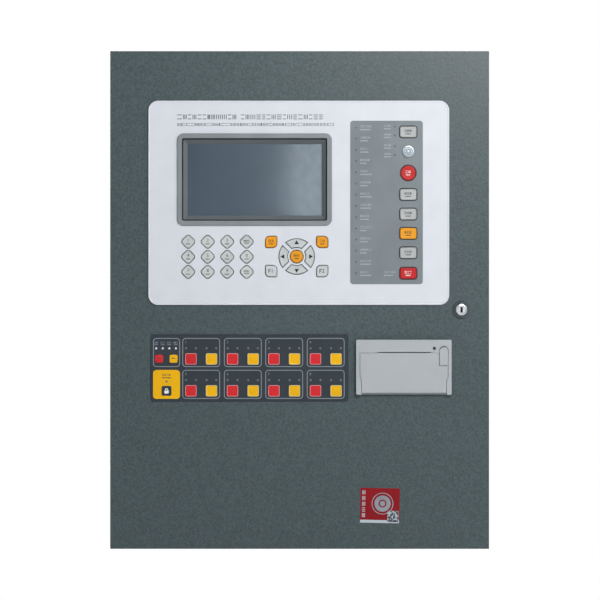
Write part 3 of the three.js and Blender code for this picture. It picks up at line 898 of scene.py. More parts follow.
class Finish(Enum):
    """Every finish on the panel, each with the record's slot that it belongs to."""

    DOOR = ("door_paint", PowderCoat("door_coat", (66, 81, 83)))
    CABINET = ("cabinet_paint", PowderCoat("cabinet_coat", (66, 81, 83)))
    FASCIA = ("fascia_white", MouldedPlastic("fascia_white", (219, 222, 229), 0.4, 0.006, 0.012))
    STRIP = ("fascia_white", MembraneFilm("strip_film", (128, 136, 140)))
    BEZEL = ("bezel_grey", MouldedPlastic("bezel_grey", (134, 141, 145), 0.4, 0.01))
    # The bezel's own grey darkened for the recess walls: painted shade.
    BEZEL_WALL_SHADED = ("bezel_grey", MouldedPlastic("bezel_wall_shaded", (108, 115, 118), 0.35, 0.01))
    # A darker copy of the lock chrome for the ring: painted shade for the dark surroundings that the ring reflects.
    LOCK_RING_SHADED = ("lock_chrome", SatinMetal("lock_ring_shaded", (122, 128, 132), 0.34, wear=0.04))
    DUCT = ("terminal_plastic", MouldedPlastic("duct_grey", (164, 168, 172), 0.5))
    WINDOW = ("screen_glass", DisplayWindow("display_window", (72, 86, 99)))
    DISPLAY = ("display_metal", SatinMetal("display_steel", (176, 180, 184), 0.32, (1, 1, 12)))
    KEY_GREY = ("key_grey", MouldedPlastic("key_grey", (199, 204, 204), 0.42))
    # A darker copy of the key grey for the function keys: painted shade, so that they look as dim as the pads.
    KEY_STONE = ("key_grey", MouldedPlastic("key_stone", (177, 181, 180), 0.42))
    KEY_AMBER = ("key_amber", MouldedPlastic("key_amber", (236, 156, 0), 0.42))
    KEY_RED = ("key_red", MouldedPlastic("key_red", (192, 14, 18), 0.42))
    INK_DARK = ("fascia_white", PrintedInk("ink_dark", (48, 53, 58)))
    INK_BLACK = ("key_grey", PrintedInk("ink_black", (24, 26, 30)))
    INK_WHITE = ("key_red", PrintedInk("ink_white", (240, 240, 240)))
    # Painted shade: a near-black band that stands for the shade in the gap round each key.
    KEY_LINE = ("fascia_white", PrintedInk("key_line", (26, 29, 31)))
    LAMP_DARK = ("fascia_white", MouldedPlastic("lamp_window", (100, 108, 112), 0.25))
    LAMP_WHITE = ("overlay_film", MouldedPlastic("lamp_white", (228, 232, 236), 0.25))
    LAMP_DIM = ("overlay_film", MouldedPlastic("lamp_dim", (106, 114, 118), 0.3))
    RIM_RED = ("overlay_film", PrintedInk("rim_red", (226, 150, 154)))
    RIM_AMBER = ("overlay_film", PrintedInk("rim_amber", (214, 204, 150)))
    LABEL_CODE = ("door_paint", PrintedInk("label_code", (66, 74, 82)))
    OVERLAY = ("overlay_film", MembraneFilm("overlay_film", (54, 62, 69), 0.5, 0.2))
    FILM_RED = ("overlay_film", MembraneFilm("film_red", (216, 42, 48), 0.4))
    FILM_AMBER = ("overlay_film", MembraneFilm("film_amber", (244, 184, 0), 0.5))
    PRINTER = ("printer_plastic", MouldedPlastic("printer_grey", (176, 181, 184), 0.45, 0.014, 0.015))
    CHROME = ("lock_chrome", SatinMetal("chrome", (228, 231, 234), 0.36, wear=0.03))
    SWITCH = ("lock_chrome", SatinMetal("switch_metal", (208, 217, 223), 0.5, wear=0.03))
    ZONE_LINE = ("overlay_film", PrintedInk("zone_line", (132, 141, 148)))
    INK_FAINT = ("fascia_white", PrintedInk("ink_faint", (170, 179, 184)))
    # Painted shade: a near-black finish that stands for the dark inside holes and slots.
    KEYWAY = ("lock_chrome", SoftSurface("keyway_dark", (18, 18, 20), 0.6))
    PLATED = ("hinge_steel", SatinMetal("plated_steel", (176, 180, 184), 0.3))
    ZINC = ("zinc_plate", SatinMetal("zinc_plate", (172, 177, 180), 0.36, (1, 1, 8), 0.12))
    SUPPLY = ("power_supply_steel", SatinMetal("supply_steel", (182, 186, 188), 0.34, (6, 1, 1)))
    BOARD = ("circuit_board", SolderMask("solder_mask"))
    CHIP = ("circuit_board", MouldedPlastic("chip_black", (32, 33, 36), 0.5))
    RELAY = ("circuit_board", MouldedPlastic("relay_blue", (38, 78, 142), 0.35))
    CAN = ("circuit_board", SatinMetal("capacitor_can", (190, 192, 196), 0.28))
    CONNECTOR = ("circuit_board", MouldedPlastic("connector_ivory", (226, 220, 200), 0.45))
    TERMINAL = ("terminal_plastic", MouldedPlastic("terminal_green", (52, 140, 78), 0.45))
    BATTERY = ("battery_case", MouldedPlastic("battery_black", (44, 46, 50), 0.5, 0.02))
    TAB_RED = ("battery_case", MouldedPlastic("terminal_red", (190, 30, 34), 0.4))
    RUBBER = ("black_rubber", SoftSurface("black_rubber", (30, 31, 33)))
    FOAM = ("black_rubber", SoftSurface("foam_seal", (40, 41, 43), 0.95, 0.2, 1500))
    PLATEN = ("platen_rubber", SoftSurface("platen_rubber", (44, 44, 46), 0.8))
    HEAD = ("head_metal", SatinMetal("print_head", (160, 164, 168), 0.35))
    PAPER = ("paper", MouldedPlastic("thermal_paper", (240, 240, 236), 0.8, 0.004))
    LABEL_RED = ("door_paint", MembraneFilm("label_red", (142, 10, 22), 0.5))
    LABEL_WHITE = ("door_paint", PrintedInk("label_white", (186, 200, 208)))
    LABEL_SILVER = ("door_paint", SatinMetal("label_silver", (170, 180, 190), 0.35))

    @property
    def slot(self) -> str:
        """The record's material slot."""
        return self.value[0]

    def material(self) -> bpy.types.Material:
        """Returns the material, built the first time it is asked for."""
        finish = self.value[1]
        if finish.name not in MADE:
            MADE[finish.name] = finish.build()
        return MADE[finish.name]


class Body(str, Enum):
    """The bodies that several pieces ride on."""

    CABINET = "cabinet"
    DOOR = "door_leaf"
    LOCK = "lock_core"
    FLAP = "printer_flap"


def dress(piece: bpy.types.Object, finish: Finish, body: str, stands_for: str = "") -> bpy.types.Object:
    """Gives a piece its finish and body.

    Args:
        piece: The piece.
        finish: Its finish.
        body: The body it rides on.
        stands_for: The CAD node it replaces, or nothing.

    Returns:
        The same piece.
    """
    piece.data.materials.clear()
    piece.data.materials.append(finish.material())
    if stands_for:
        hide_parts(stands_for)
    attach(piece, getattr(body, "value", body))
    LOG.info("made %s", piece.name)
    return piece


def shape(name: str, made: tuple[Points, list], finish: Finish, body: str, stands_for: str = "",
          sharp: float = SHARP) -> bpy.types.Object:
    """Turns vertices in millimetres and their faces into a dressed piece, and returns it."""
    return dress(new_object(name, *made, sharp), finish, body, stands_for)


def words(left: float, z: float, width: float, height: float, front: float, seed: int,
          raise_by: float = INK_RISE) -> list[tuple[float, ...]]:
    """Works out a line of made-up marks, as type looks from afar.

    A low line is of short bars of uneven width with even gaps. In a taller one each mark is three
    upright strokes, three level ones or two.

    Args:
        left: Where the line starts.
        z: The line's middle.
        width: How long it is.
        height: How tall its bars are.
        front: The y of the face it is printed on.
        seed: Picks the widths.
        raise_by: How far the ink stands off the face.

    Returns:
        One box of limits for each bar.
    """
    rng = np.random.default_rng(seed)
    count = max(1, round(width / (height * 1.1)))
    share = rng.uniform(0.75, 1.25, count)
    share = share / share.sum() * width
    starts = left + np.concatenate([[0], np.cumsum(share)[:-1]])
    ends = starts + share - min(0.28 * height, 0.25 * width / count)
    low, high = z - height / 2, z + height / 2
    if height < 1.7:
        limits = [(start, end, low, high) for start, end in zip(starts, ends)]
        return [(a, b, front - raise_by, front + SUNK, c, d) for a, b, c, d in limits]
    stroke = max(0.36, 0.12 * height + 0.15)
    limits = []
    for start, end, kind in zip(starts, ends, rng.integers(0, 3, count)):
        if kind == 0:
            limits += [(x, x + stroke, low, high) for x in (start, (start + end - stroke) / 2, end - stroke)]
        else:
            steps = (low, (low + high - stroke) / 2, high - stroke) if kind == 1 else (low, high - stroke)
            limits += [(start, end, level, level + stroke) for level in steps]
    return [(a, b, front - raise_by, front + SUNK, c, d) for a, b, c, d in limits]


def blocks(corner: tuple[float, float], depths: tuple[float, float],
           places: Sequence[Sequence[float]]) -> list[list[float]]:
    """Returns the limits of blocks on a board, each given as x and z from the corner, width and height."""
    left, low = corner
    return [[left + x, left + x + wide, *depths, low + z, low + z + high] for x, z, wide, high in places]


def numeral(name: str, text: str, size: float, centre: Sequence[float], front: float, finish: Finish,
            body: str) -> bpy.types.Object:
    """Makes raised figures on a face: a text object turned into a mesh before it is placed.

    Args:
        name: The piece's name.
        text: The figures.
        size: Height of the type in millimetres.
        centre: The (x, z) of their middle.
        front: The y of the face.
        finish: Their finish.
        body: The body they ride on.

    Returns:
        The piece.
    """
    curve = bpy.data.curves.new(name, "FONT")
    curve.body = text
    curve.size = size * MM
    curve.align_x = "CENTER"
    curve.align_y = "CENTER"
    curve.extrude = 0.03 * MM
    curve.resolution_u = 3
    mesh, raw = curve_mesh(name, curve)
    placed = np.stack([raw[:, 0] + centre[0] * MM, front * MM - raw[:, 2], raw[:, 1] + centre[1] * MM], axis=1)
    mesh.vertices.foreach_set("co", placed.ravel())
    return dress(weld(finish_mesh(name, mesh), 1e-6), finish, body)


def triangle(centre: Sequence[float], size: float, quarter: int, front: float) -> tuple[Points, list]:
    """Makes a raised arrow head that points along one of four directions.

    Args:
        centre: The (x, z) of its middle.
        size: Its length.
        quarter: 0 points right, 1 up, 2 left and 3 down.
        front: The y of the face.

    Returns:
        The vertices and faces of a three-sided plate.
    """
    angle = quarter * math.pi / 2 + np.array([0, 2 * math.pi / 3, 4 * math.pi / 3])
    flat = np.stack([centre[0] + size * 0.6 * np.cos(angle), centre[1] + size * 0.6 * np.sin(angle)], axis=1)
    rings = [np.stack([flat[:, 0], np.full(3, depth), flat[:, 1]], axis=1)
             for depth in (front + SUNK, front - INK_RISE)]
    faces = ring_faces(2, 3, False) + [[2, 1, 0], [3, 4, 5]]
    return np.concatenate(rings), faces


# ---------------------------------------------------------------- keys


@dataclass(frozen=True)
class Key:
    """One moulded key: a cap with a soft edge and a shallow dish, and the flange behind it."""

    node: str
    outline: object
    finish: Finish
    centre: tuple[float, float]
    front: float
    back: float
    flange: float = 0.8
    edge: float = 0.7
    dish: float = 0.25
    hole_gap: float = 0.32

    @property
    def body(self) -> str:
        """The body that the key is."""
        return self.node + "_cap"

    def hole(self) -> Points:
        """Returns the outline of the hole that the key stands in."""
        return self.outline.ring(-self.hole_gap) + np.array(self.centre)

    def build(self, dished_to: float) -> bpy.types.Object:
        """Builds the cap: flange, side, quarter-round edge, then a dish that sinks towards the middle.

        Args:
            dished_to: Inset at which the dish reaches its depth.

        Returns:
            The piece.
        """
        face = self.back - 5.5
        top = rounded_edge(face, self.front, self.edge)
        inner = [(self.edge + (dished_to - self.edge) * share, self.front + self.dish * share ** 0.6)
                 for share in (0.35, 0.7, 1.0)]
        sections = [(-self.flange, face + 1.0), (-self.flange, face), *top, *inner]
        cap = stacked(self.outline, sections, self.centre)
        return shape(self.node + "_key", cap, self.finish, self.body, self.node)


@dataclass
class KeyField:
    """All the keys on the fascia, with their legends."""

    grey_marks: Finish = Finish.INK_BLACK
    pad_half: float = 7.1
    pad_corner: float = 3.2
    enter_radius: float = 7.2
    arrow_inner: float = 11.0
    arrow_outer: float = 20.2
    arrow_gap: float = 2.9
    corner_size: float = 12.6
    corner_big: float = 4.5
    corner_small: float = 1.5
    function_size: tuple[float, float] = (18.8, 12.5)
    function_corner: float = 2.5
    round_radius: float = 8.5
    film: float = 0.12
    # Reach of the painted gap shade round each key, out from its outline and into it.
    shade_out: float = -0.95
    shade_out_strip: float = -1.3
    shade_in: float = -0.33
    figure: float = 5.2
    function_figure: float = 6.2
    arrow: float = 5.0
    keys: list[Key] = field(default_factory=list)

    def add(self, node: str, outline: object, finish: Finish, centre: Sequence[float] | None = None) -> Key:
        """Adds a key that stands where its CAD node does.

        Args:
            node: The CAD node.
            outline: The cap's outline.
            finish: The cap's finish.
            centre: The outline's own centre, or nothing for the middle of the node's box.

        Returns:
            The key.
        """
        place = Place.of(node)
        middle = tuple(centre) if centre is not None else place.middle
        key = Key(node, outline, finish, middle, place.low[1], place.high[1])
        self.keys.append(key)
        return key

    def plan(self) -> None:
        """Lists every key with its outline."""
        names = ["digit_1", "digit_2", "digit_3", "back", "digit_4", "digit_5", "digit_6", "digit_0",
                 "digit_7", "digit_8", "digit_9", "function"]
        for name in names:
            self.add("key_" + name, Diamond(self.pad_half, self.pad_corner), Finish.KEY_GREY)
        enter = self.add("nav_enter", Disc(self.enter_radius), Finish.KEY_AMBER)
        for quarter, side in enumerate(("right", "up", "left", "down")):
            ring = QuarterRing(self.arrow_inner, self.arrow_outer, self.arrow_gap, quarter)
            self.add("nav_" + side, ring, Finish.KEY_GREY, enter.centre)
        big, small = self.corner_big, self.corner_small
        rising, falling = (big, small, big, small), (small, big, small, big)
        corners = {"mode_key_left": (falling, Finish.KEY_AMBER), "mode_key_right": (rising, Finish.KEY_AMBER),
                   "f1_key": (rising, Finish.KEY_GREY), "f2_key": (falling, Finish.KEY_GREY)}
        for name, (radii, finish) in corners.items():
            self.add(name, RoundedRect(self.corner_size, self.corner_size, radii), finish)
        # Function keys 1, 2, 3 and 5 take the key grey darkened as painted shade.
        finishes = [Finish.KEY_STONE] * 3 + [Finish.KEY_AMBER, Finish.KEY_STONE, Finish.KEY_RED]
        for index, finish in enumerate(finishes):
            outline = RoundedRect.even(*self.function_size, self.function_corner)
            self.add(f"function_key_{index + 1}", outline, finish)
        self.add("round_button", Disc(self.round_radius), Finish.KEY_RED)

    def paint_gap_shade(self) -> None:
        """Paints shade round every key's hole: a dark band on the fascia that stands for the shade in the gap between
        key and fascia.
        """
        front = Place.of("fascia_panel").low[1]
        parts = []
        for key in self.keys:
            on_strip = key.node.startswith(("function", "round"))
            face = front - (self.film if on_strip else 0.0)
            out = self.shade_out_strip if on_strip else self.shade_out
            base, top = face + SUNK, face - INK_RISE
            band = [(out, base), (out, top), (self.shade_in, top), (self.shade_in, base)]
            parts.append(framed(key.outline, band, key.centre))
        shape("key_edging", merged(parts), Finish.KEY_LINE, Body.DOOR)

    def build(self) -> None:
        """Builds every cap and its legend."""
        self.paint_gap_shade()
        depths = {Diamond: 3.4, Disc: 5.0, QuarterRing: 2.6, RoundedRect: 4.4}
        for index, key in enumerate(self.keys):
            key.build(depths[type(key.outline)])
            self.mark(index, key)

    def mark(self, index: int, key: Key) -> None:
        """Prints a key's legend: a figure, an arrow head or two lines of bars.

        Args:
            index: The key's number, which picks its bars.
            key: The key.
        """
        x, z = key.centre
        face = key.front + key.dish * 0.85
        if key.node.startswith("key_"):
            text = key.node[-1] if key.node[-2] == "_" else ""
            if text:
                numeral(key.node + "_figure", text, self.figure, (x, z + 1.5), face, self.grey_marks, key.body)
                rows = words(x - 2.4, z - 2.6, 4.8, 1.1, face, index)
            else:
                rows = words(x - 3.4, z + 1.0, 6.8, 1.7, face, index)
                rows += words(x - 2.6, z - 1.6, 5.2, 1.1, face, index + 90)
        elif key.node.startswith("nav_") and key.node != "nav_enter":
            quarter = key.outline.quarter
            reach = (self.arrow_inner + self.arrow_outer) / 2 + 0.3
            middle = (x + reach * math.cos(quarter * math.pi / 2), z + reach * math.sin(quarter * math.pi / 2))
            head = triangle(middle, self.arrow, quarter, key.front)
            shape(key.node + "_arrow", head, self.grey_marks, key.body)
            return
        elif key.node in ("f1_key", "f2_key"):
            spot = (x + 1.2, z)
            numeral(key.node + "_figure", key.node[1], self.function_figure, spot, face, self.grey_marks, key.body)
            ink = (face - INK_RISE, face + SUNK)
            rows = [[x - 3.2, x - 2.5, *ink, z - 2.2, z + 2.2], [x - 2.5, x - 0.6, *ink, z + 1.5, z + 2.2],
                    [x - 2.5, x - 1.0, *ink, z - 0.3, z + 0.4]]
        else:
            wide = 8.6 if isinstance(key.outline, RoundedRect) and key.outline.width > 15 else 6.8
            rows = words(x - wide / 2, z + 1.2, wide, 2.7, face, index)
            rows += words(x - wide * 0.36, z - 2.3, wide * 0.72, 1.1, face, index + 50)
        pale = key.finish is Finish.KEY_RED
        shape(key.node + "_legend", boxes(rows), Finish.INK_WHITE if pale else self.grey_marks, key.body)


# ---------------------------------------------------------------- fascia


@dataclass
class Fascia:
    """The white moulding with its rim, screen frame, window, label strip and key switch."""

    keys: KeyField
    rim_width: float = 1.8
    rim_rise: float = 0.45
    corner: float = 11.5
    strip_size: tuple[float, float] = (84.3, 189.6)
    strip_offset: tuple[float, float] = (101.8, 0.4)
    strip_corner: float = 3.5
    film: float = 0.12
    bezel_corner: float = 7.5
    mouth: tuple[float, float] = (167.4, 96.6)
    border: float = 5.7
    skirt_size: tuple[float, float] = (334, 222)
    switch_hole: float = 6.4
    lamp_start: tuple[float, float] = (-35.0, 87.1)
    lamp_pitch: float = 13.0
    lamp_count: int = 14
    lamp_radius: float = 1.15
    side_column: float = 9.7
    side_drops: tuple[float, ...] = (0.0, 10.0, 22.5, 32.5)
    legend_gap: float = 12.6
    title_rise: float = 19.2
    subtitle_rise: float = 10.4

    def build(self) -> None:
        """Builds the whole fascia."""
        self.place = Place.of("fascia_panel")
        self.bezel = Place.of("screen_bezel")
        self.switch = Place.of("key_switch_body")
        self.front = self.place.low[1]
        self.centre = self.place.middle
        self.moulding()
        self.label_strip()
        self.lamps()
        self.title()
        self.screen()
        self.key_switch()

    def moulding(self) -> None:
        """Builds the holed plate, the raised rim round it and the skirt behind."""
        centre = np.array(self.centre)
        outer = RoundedRect.even(self.place.size[0], self.place.size[2], self.corner, 12)
        back = self.front + 2.0
        screen_hole = RoundedRect.even(self.mouth[0] + 3.2, self.mouth[1] + 3.2, 2.0).ring()
        holes = [key.hole() for key in self.keys.keys]
        holes.append(screen_hole + np.array(self.bezel.middle))
        holes.append(Disc(self.switch_hole).ring() + np.array(self.switch.middle))
        plate = plate_with_holes("fascia_plate", [outer.ring(0.3) + centre, *holes], back, self.front, 0.22)
        dress(plate, Finish.FASCIA, Body.DOOR, "fascia_panel")
        crown = np.linspace(0, math.pi, 9)
        width, rise = self.rim_width / 2, self.rim_rise
        sections = [(0.0, back)]
        sections += [(width - width * math.cos(angle), self.front - rise * math.sin(angle) ** 0.8) for angle in crown]
        sections.append((self.rim_width, back - 0.6))
        shape("fascia_rim", framed(outer, sections, self.centre), Finish.FASCIA, Body.DOOR)
        skirt = RoundedRect.even(*self.skirt_size, 4)
        wall = [(0, back + 4.3), (0, back - 0.2), (2, back - 0.2), (2, back + 4.3)]
        shape("fascia_skirt", framed(skirt, wall, self.centre), Finish.FASCIA, Body.DOOR)

    def label_strip(self) -> None:
        """Lays the grey film under the lamps and the function keys, cut out for them."""
        middle = np.array([self.centre[0] + self.strip_offset[0], self.centre[1] + self.strip_offset[1]])
        self.strip = middle
        outer = RoundedRect.even(*self.strip_size, self.strip_corner).ring() + middle
        inside = [key.hole() for key in self.keys.keys if key.node.startswith("function") or key.node == "round_button"]
        inside.append(Disc(self.switch_hole).ring() + np.array(self.switch.middle))
        film = plate_with_holes("label_strip", [outer, *inside], self.front - 0.005, self.front - self.film, 0.02)
        dress(film, Finish.STRIP, Body.DOOR)

    def lamps(self) -> None:
        """Sets two columns of lamps into the strip, each with its printed lines."""
        left, top = self.strip[0] + self.lamp_start[0], self.strip[1] + self.lamp_start[1]
        face = self.front - self.film
        lamps = [(left, top - index * self.lamp_pitch) for index in range(self.lamp_count)]
        side = self.strip[0] + self.side_column
        lamps += [(side, top + 0.8 - drop) for drop in self.side_drops]
        dome = [(0, face + 0.05), (0, face - 0.1), (0.4, face - 0.28), (0.8, face - 0.34)]
        parts = [stacked(Disc(self.lamp_radius, 20), dome, spot) for spot in lamps]
        shape("strip_lamps", merged(parts), Finish.LAMP_DARK, Body.DOOR)
        rows = []
        rng = np.random.default_rng(5)
        for index, (_, z) in enumerate(lamps[: self.lamp_count]):
            rows += words(left + 4.6, z + 1.2, float(rng.uniform(8.5, 14.5)), 2.1, face, index)
            rows += words(left + 4.6, z - 2.6, float(rng.uniform(7.0, 13.5)), 1.3, face, index + 40)
        start = side - self.legend_gap
        for index, (_, z) in enumerate(lamps[self.lamp_count:]):
            rows += words(start, z + 1.0, 8.4, 2.0, face, index + 70)
            rows += words(start, z - 2.4, 8.0, 1.2, face, index + 80)
        lowest = lamps[self.lamp_count - 1][1]
        rows += words(start, lowest + 1.2, 13.5, 2.0, face, 91)
        rows += words(start, lowest - 2.6, 10.5, 1.3, face, 92)
        shape("strip_legends", boxes(rows), Finish.INK_FAINT, Body.DOOR)

    def title(self) -> None:
        """Prints two plain lines of bars over the screen."""
        left = self.bezel.low[0]
        top = self.bezel.high[2]
        rows = words(left, top + self.title_rise, 70.0, 5.4, self.front, 201)
        rows += words(left + 74.0, top + self.title_rise, 96.5, 5.4, self.front, 202)
        rows += words(left, top + self.subtitle_rise, 183.0, 3.2, self.front, 203)
        shape("title_bars", boxes(rows), Finish.INK_DARK, Body.DOOR)

    def screen(self) -> None:
        """Builds the screen's frame with its sloping recess, the window and the display."""
        place, lens = self.bezel, Place.of("screen_lens")
        centre = place.middle
        outline = RoundedRect.even(place.size[0], place.size[2], self.bezel_corner, 10)
        edge = self.border
        front, back = place.low[1], place.high[1]
        sections = [(0.0, self.front - 0.05), *rounded_edge(front + 1, front, 0.9)[1:]]
        step = front + 2.2
        sections += [(edge - 0.5, front), (edge - 0.1, front + 0.25), (edge, front + 0.7), (edge, step)]
        sections += [(edge, back), (edge - 1.2, back), (edge - 1.2, self.front - 0.05)]
        shape("screen_frame", framed(outline, sections, centre), Finish.BEZEL, Body.DOOR, "screen_bezel", 28)
        mouth = RoundedRect.even(place.size[0] - 2 * edge, place.size[2] - 2 * edge, 3.0, 8)
        slope = [(0.02, step), (1.5, step + 0.3), (6.2, back), (0.02, back)]
        # The sloping walls take a darker copy of the bezel grey: painted shade in the recess.
        shape("screen_slope", framed(mouth, slope, centre), Finish.BEZEL_WALL_SHADED, Body.DOOR, sharp=28)
        # Painted shade: a dark band where the frame steps into the slope stands for the shade in that crease.
        crease_shade = [(0.05, step + 0.3), (0.05, step - 0.3), (0.5, step - 0.5), (1.2, step - 0.2), (1.4, step + 0.3)]
        shape("screen_crease_shade", framed(mouth, crease_shade, centre), Finish.RUBBER, Body.DOOR)
        pane = RoundedRect.even(lens.size[0], lens.size[2], 1.0)
        window = stacked(pane, rounded_edge(lens.high[1], lens.low[1], 0.2), lens.middle)
        shape("screen_window", window, Finish.WINDOW, Body.DOOR, "screen_lens")
        dress(refined("lcd_module", 0.6), Finish.DISPLAY, Body.DOOR)

    def key_switch(self) -> None:
        """Turns the key switch's ring and barrel, and its core with the round keyway."""
        place, core = self.switch, Place.of("key_switch_rotor")
        centre = (place.centre[0], 0.0, place.centre[2])
        front, back = place.low[1], place.high[1]
        profile = np.array([(4.3, back), (4.3, front + 1.2), (5.2, front), (6.2, front + 0.15), (6.75, front + 0.9),
                            (6.75, self.front - 0.15), (6.1, self.front - 0.15), (6.1, back)])
        body = weld(new_object("key_switch_ring", *turned_ring(profile, centre, "Y")), 1e-7)
        dress(body, Finish.SWITCH, Body.DOOR, "key_switch_body")
        face = core.low[1]
        profile = np.array([(2.3, face + 1.3), (2.7, face + 1.1), (2.7, face + 0.3), (3.0, face), (3.7, face),
                            (4.0, face + 0.3), (4.0, core.high[1]), (2.3, core.high[1])])
        rotor = weld(new_object("key_switch_core_shape", *turned_ring(profile, centre, "Y")), 1e-7)
        dress(rotor, Finish.SWITCH, "key_switch_core", "key_switch_rotor")
        # Painted shade: a dark disc deep in the core's bore stands for the dark of the keyway.
        floor = turned_bar([(2.25, face + 1.6), (2.25, face + 4.0)], centre, "Y", 24)
        shape("key_switch_keyway", floor, Finish.KEYWAY, "key_switch_core")
        pin = turned_bar([(1.4, face + 0.2), (1.8, face + 0.4), (1.8, face + 1.8)], centre, "Y", 24)
        shape("key_switch_pin", pin, Finish.SWITCH, "key_switch_core")


# ---------------------------------------------------------------- zone panel


@dataclass
class ZonePanel:
    """The dark membrane with eight zones, a master zone and an amber lock zone."""

    corner: float = 3.0
    zone_size: tuple[float, float] = (43.8, 33.6)
    zone_columns: tuple[float, ...] = (-56.0, -7.7, 40.3, 88.5)
    rows: tuple[float, float] = (17.9, -19.1)
    master_x: float = -96.2
    master_size: tuple[float, float] = (31.3, 33.6)
    line: float = 0.9
    zone_corner: float = 4.0
    ink: float = 0.06
    key_size: float = 13.0
    key_corner: float = 1.8
    key_places: tuple[float, float] = (-11.9, 12.0)
    key_drop: float = 7.5
    master_key_places: tuple[float, float] = (-8.6, 8.1)
    master_key_drop: float = 7.3
    master_key_size: float = 9.2
    lock_key_size: float = 11.4
    rise: float = 0.75
    lamp_places: tuple[float, ...] = (-17.6, -6.2, 6.3, 17.4)
    lamp_rise: float = 4.9
    master_lamp_start: float = -12.1
    master_lamp_pitch: float = 7.65
    number_place: tuple[float, float] = (-17.8, 11.9)
    number_size: float = 4.0

    def build(self) -> None:
        """Builds the film, its printed outlines, raised keys, lamps and legends."""
        place = Place.of("control_overlay")
        self.centre = place.middle
        self.face = place.low[1] + 0.35
        film = RoundedRect.even(place.size[0], place.size[2], self.corner)
        sections = rounded_edge(place.high[1], self.face, 0.25)
        shape("zone_film", stacked(film, sections, self.centre), Finish.OVERLAY, Body.DOOR, "control_overlay")
        self.outlines()
        self.membrane_keys()
        self.lamps_and_marks()
        self.board()

    def spot(self, x: float, z: float) -> tuple[float, float]:
        """Moves a place on the panel into the frame."""
        return (self.centre[0] + x, self.centre[1] + z)

    def zones(self) -> list[tuple[float, float]]:
        """Returns the eight zones' centres."""
        return [(x, z) for z in self.rows for x in self.zone_columns]

    def outlines(self) -> None:
        """Prints a thin line round each zone and fills the lock zone with amber."""
        base, top = self.face + SUNK, self.face - self.ink
        ink = [(0.0, base), (0.0, top), (self.line, top), (self.line, base)]
        zone = RoundedRect.even(*self.zone_size, self.zone_corner)
        frames = [framed(zone, ink, self.spot(x, z)) for x, z in self.zones()]
        master = RoundedRect.even(*self.master_size, self.zone_corner)
        frames.append(framed(master, ink, self.spot(self.master_x, self.rows[0])))
        shape("zone_outlines", merged(frames), Finish.ZONE_LINE, Body.DOOR)
        patch = stacked(master, [(0, base), (0, top)], self.spot(self.master_x, self.rows[1]))
        shape("lock_zone", patch, Finish.FILM_AMBER, Body.DOOR)

    def button(self, x: float, z: float, size: float) -> tuple[Points, list]:
        """Makes one raised key: a rim that swells out of the film and a flat pillow inside it.

        Args:
            x: Its middle's place across the panel.
            z: Its middle's place up the panel.
            size: Its width and height.

        Returns:
            The vertices and faces.
        """
        outline = RoundedRect.even(size, size, self.key_corner)
        rise = self.rise
        profile = [(0.0, self.face + SUNK), (0.05, self.face - rise * 0.55), (0.35, self.face - rise * 0.9),
                   (0.75, self.face - rise), (1.15, self.face - rise * 0.9), (1.45, self.face - rise * 0.6),
                   (2.6, self.face - rise * 0.72), (size * 0.3, self.face - rise * 0.78)]
        return stacked(outline, profile, self.spot(x, z))

    def rim(self, x: float, z: float, size: float) -> tuple[Points, list]:
        """Makes the pale printed line round a raised key.

        Args:
            x: The key's place across the panel.
            z: The key's place up the panel.
            size: The key's width and height.

        Returns:
            The vertices and faces.
        """
        face = self.face - self.rise
        band = [(-0.05, self.face + SUNK), (-0.05, face - 0.03), (0.62, face - 0.07), (0.75, self.face)]
        return framed(RoundedRect.even(size, size, self.key_corner), band, self.spot(x, z))

    def membrane_keys(self) -> None:
        """Embosses a red and an amber key in each zone, and the lock zone's dark key."""
        red, amber, marks, rims_red, rims_amber = [], [], [], [], []
        top = self.face - self.rise * 0.79
        for x, z in self.zones():
            for place, keys, rims in zip(self.key_places, (red, amber), (rims_red, rims_amber)):
                keys.append(self.button(x + place, z - self.key_drop, self.key_size))
                rims.append(self.rim(x + place, z - self.key_drop, self.key_size))
        x, z = self.master_x, self.rows[0]
        for side, keys in zip(self.master_key_places, (red, amber)):
            keys.append(self.button(x + side, z - self.master_key_drop, self.master_key_size))
            left, low = self.spot(x + side - 1.9, z - self.master_key_drop)
            marks += words(left, low + 0.6, 3.8, 1.3, top, 61)
        shape("zone_keys_red", merged(red), Finish.FILM_RED, Body.DOOR)
        shape("zone_keys_amber", merged(amber), Finish.FILM_AMBER, Body.DOOR)
        z = self.rows[1]
        shape("lock_key", self.button(x, z - self.key_drop, self.lock_key_size), Finish.OVERLAY, Body.DOOR)
        self.padlock(self.spot(x, z - self.key_drop), top)
        shape("zone_key_legends", boxes(marks), Finish.INK_DARK, Body.DOOR)
        shape("zone_key_rims_red", merged(rims_red), Finish.RIM_RED, Body.DOOR)
        shape("zone_key_rims_amber", merged(rims_amber), Finish.RIM_AMBER, Body.DOOR)

    def padlock(self, centre: tuple[float, float], face: float) -> None:
        """Prints a small white padlock: a body and half a ring over it.

        Args:
            centre: The (x, z) of its middle.
            face: The y of the face it is printed on.
        """
        x, z = centre
        steps = 12
        count = 2 * steps
        levels = (face + SUNK, face - INK_RISE)
        lower = stacked(RoundedRect.even(5.0, 3.4, 0.5), [(0, level) for level in levels], (x, z - 1.4))
        outer = arc_points((0, 0), 2.1, 0, math.pi, steps)
        inner = arc_points((0, 0), 1.2, math.pi, 0, steps)
        flat = np.concatenate([outer, inner]) * np.array([1.0, 1.35]) + np.array([x, z + 0.2])
        rings = [np.stack([flat[:, 0], np.full(count, level), flat[:, 1]], axis=1) for level in levels]
        quads = ring_faces(2, count, False)
        ends = [[index, count - 1 - index, count - 2 - index, index + 1] for index in range(steps - 1)]
        fronts = [[count + number for number in quad[::-1]] for quad in ends]
        bow = (np.concatenate(rings), quads + ends + fronts)
        shape("padlock_mark", merged([lower, bow]), Finish.INK_WHITE, Body.DOOR)

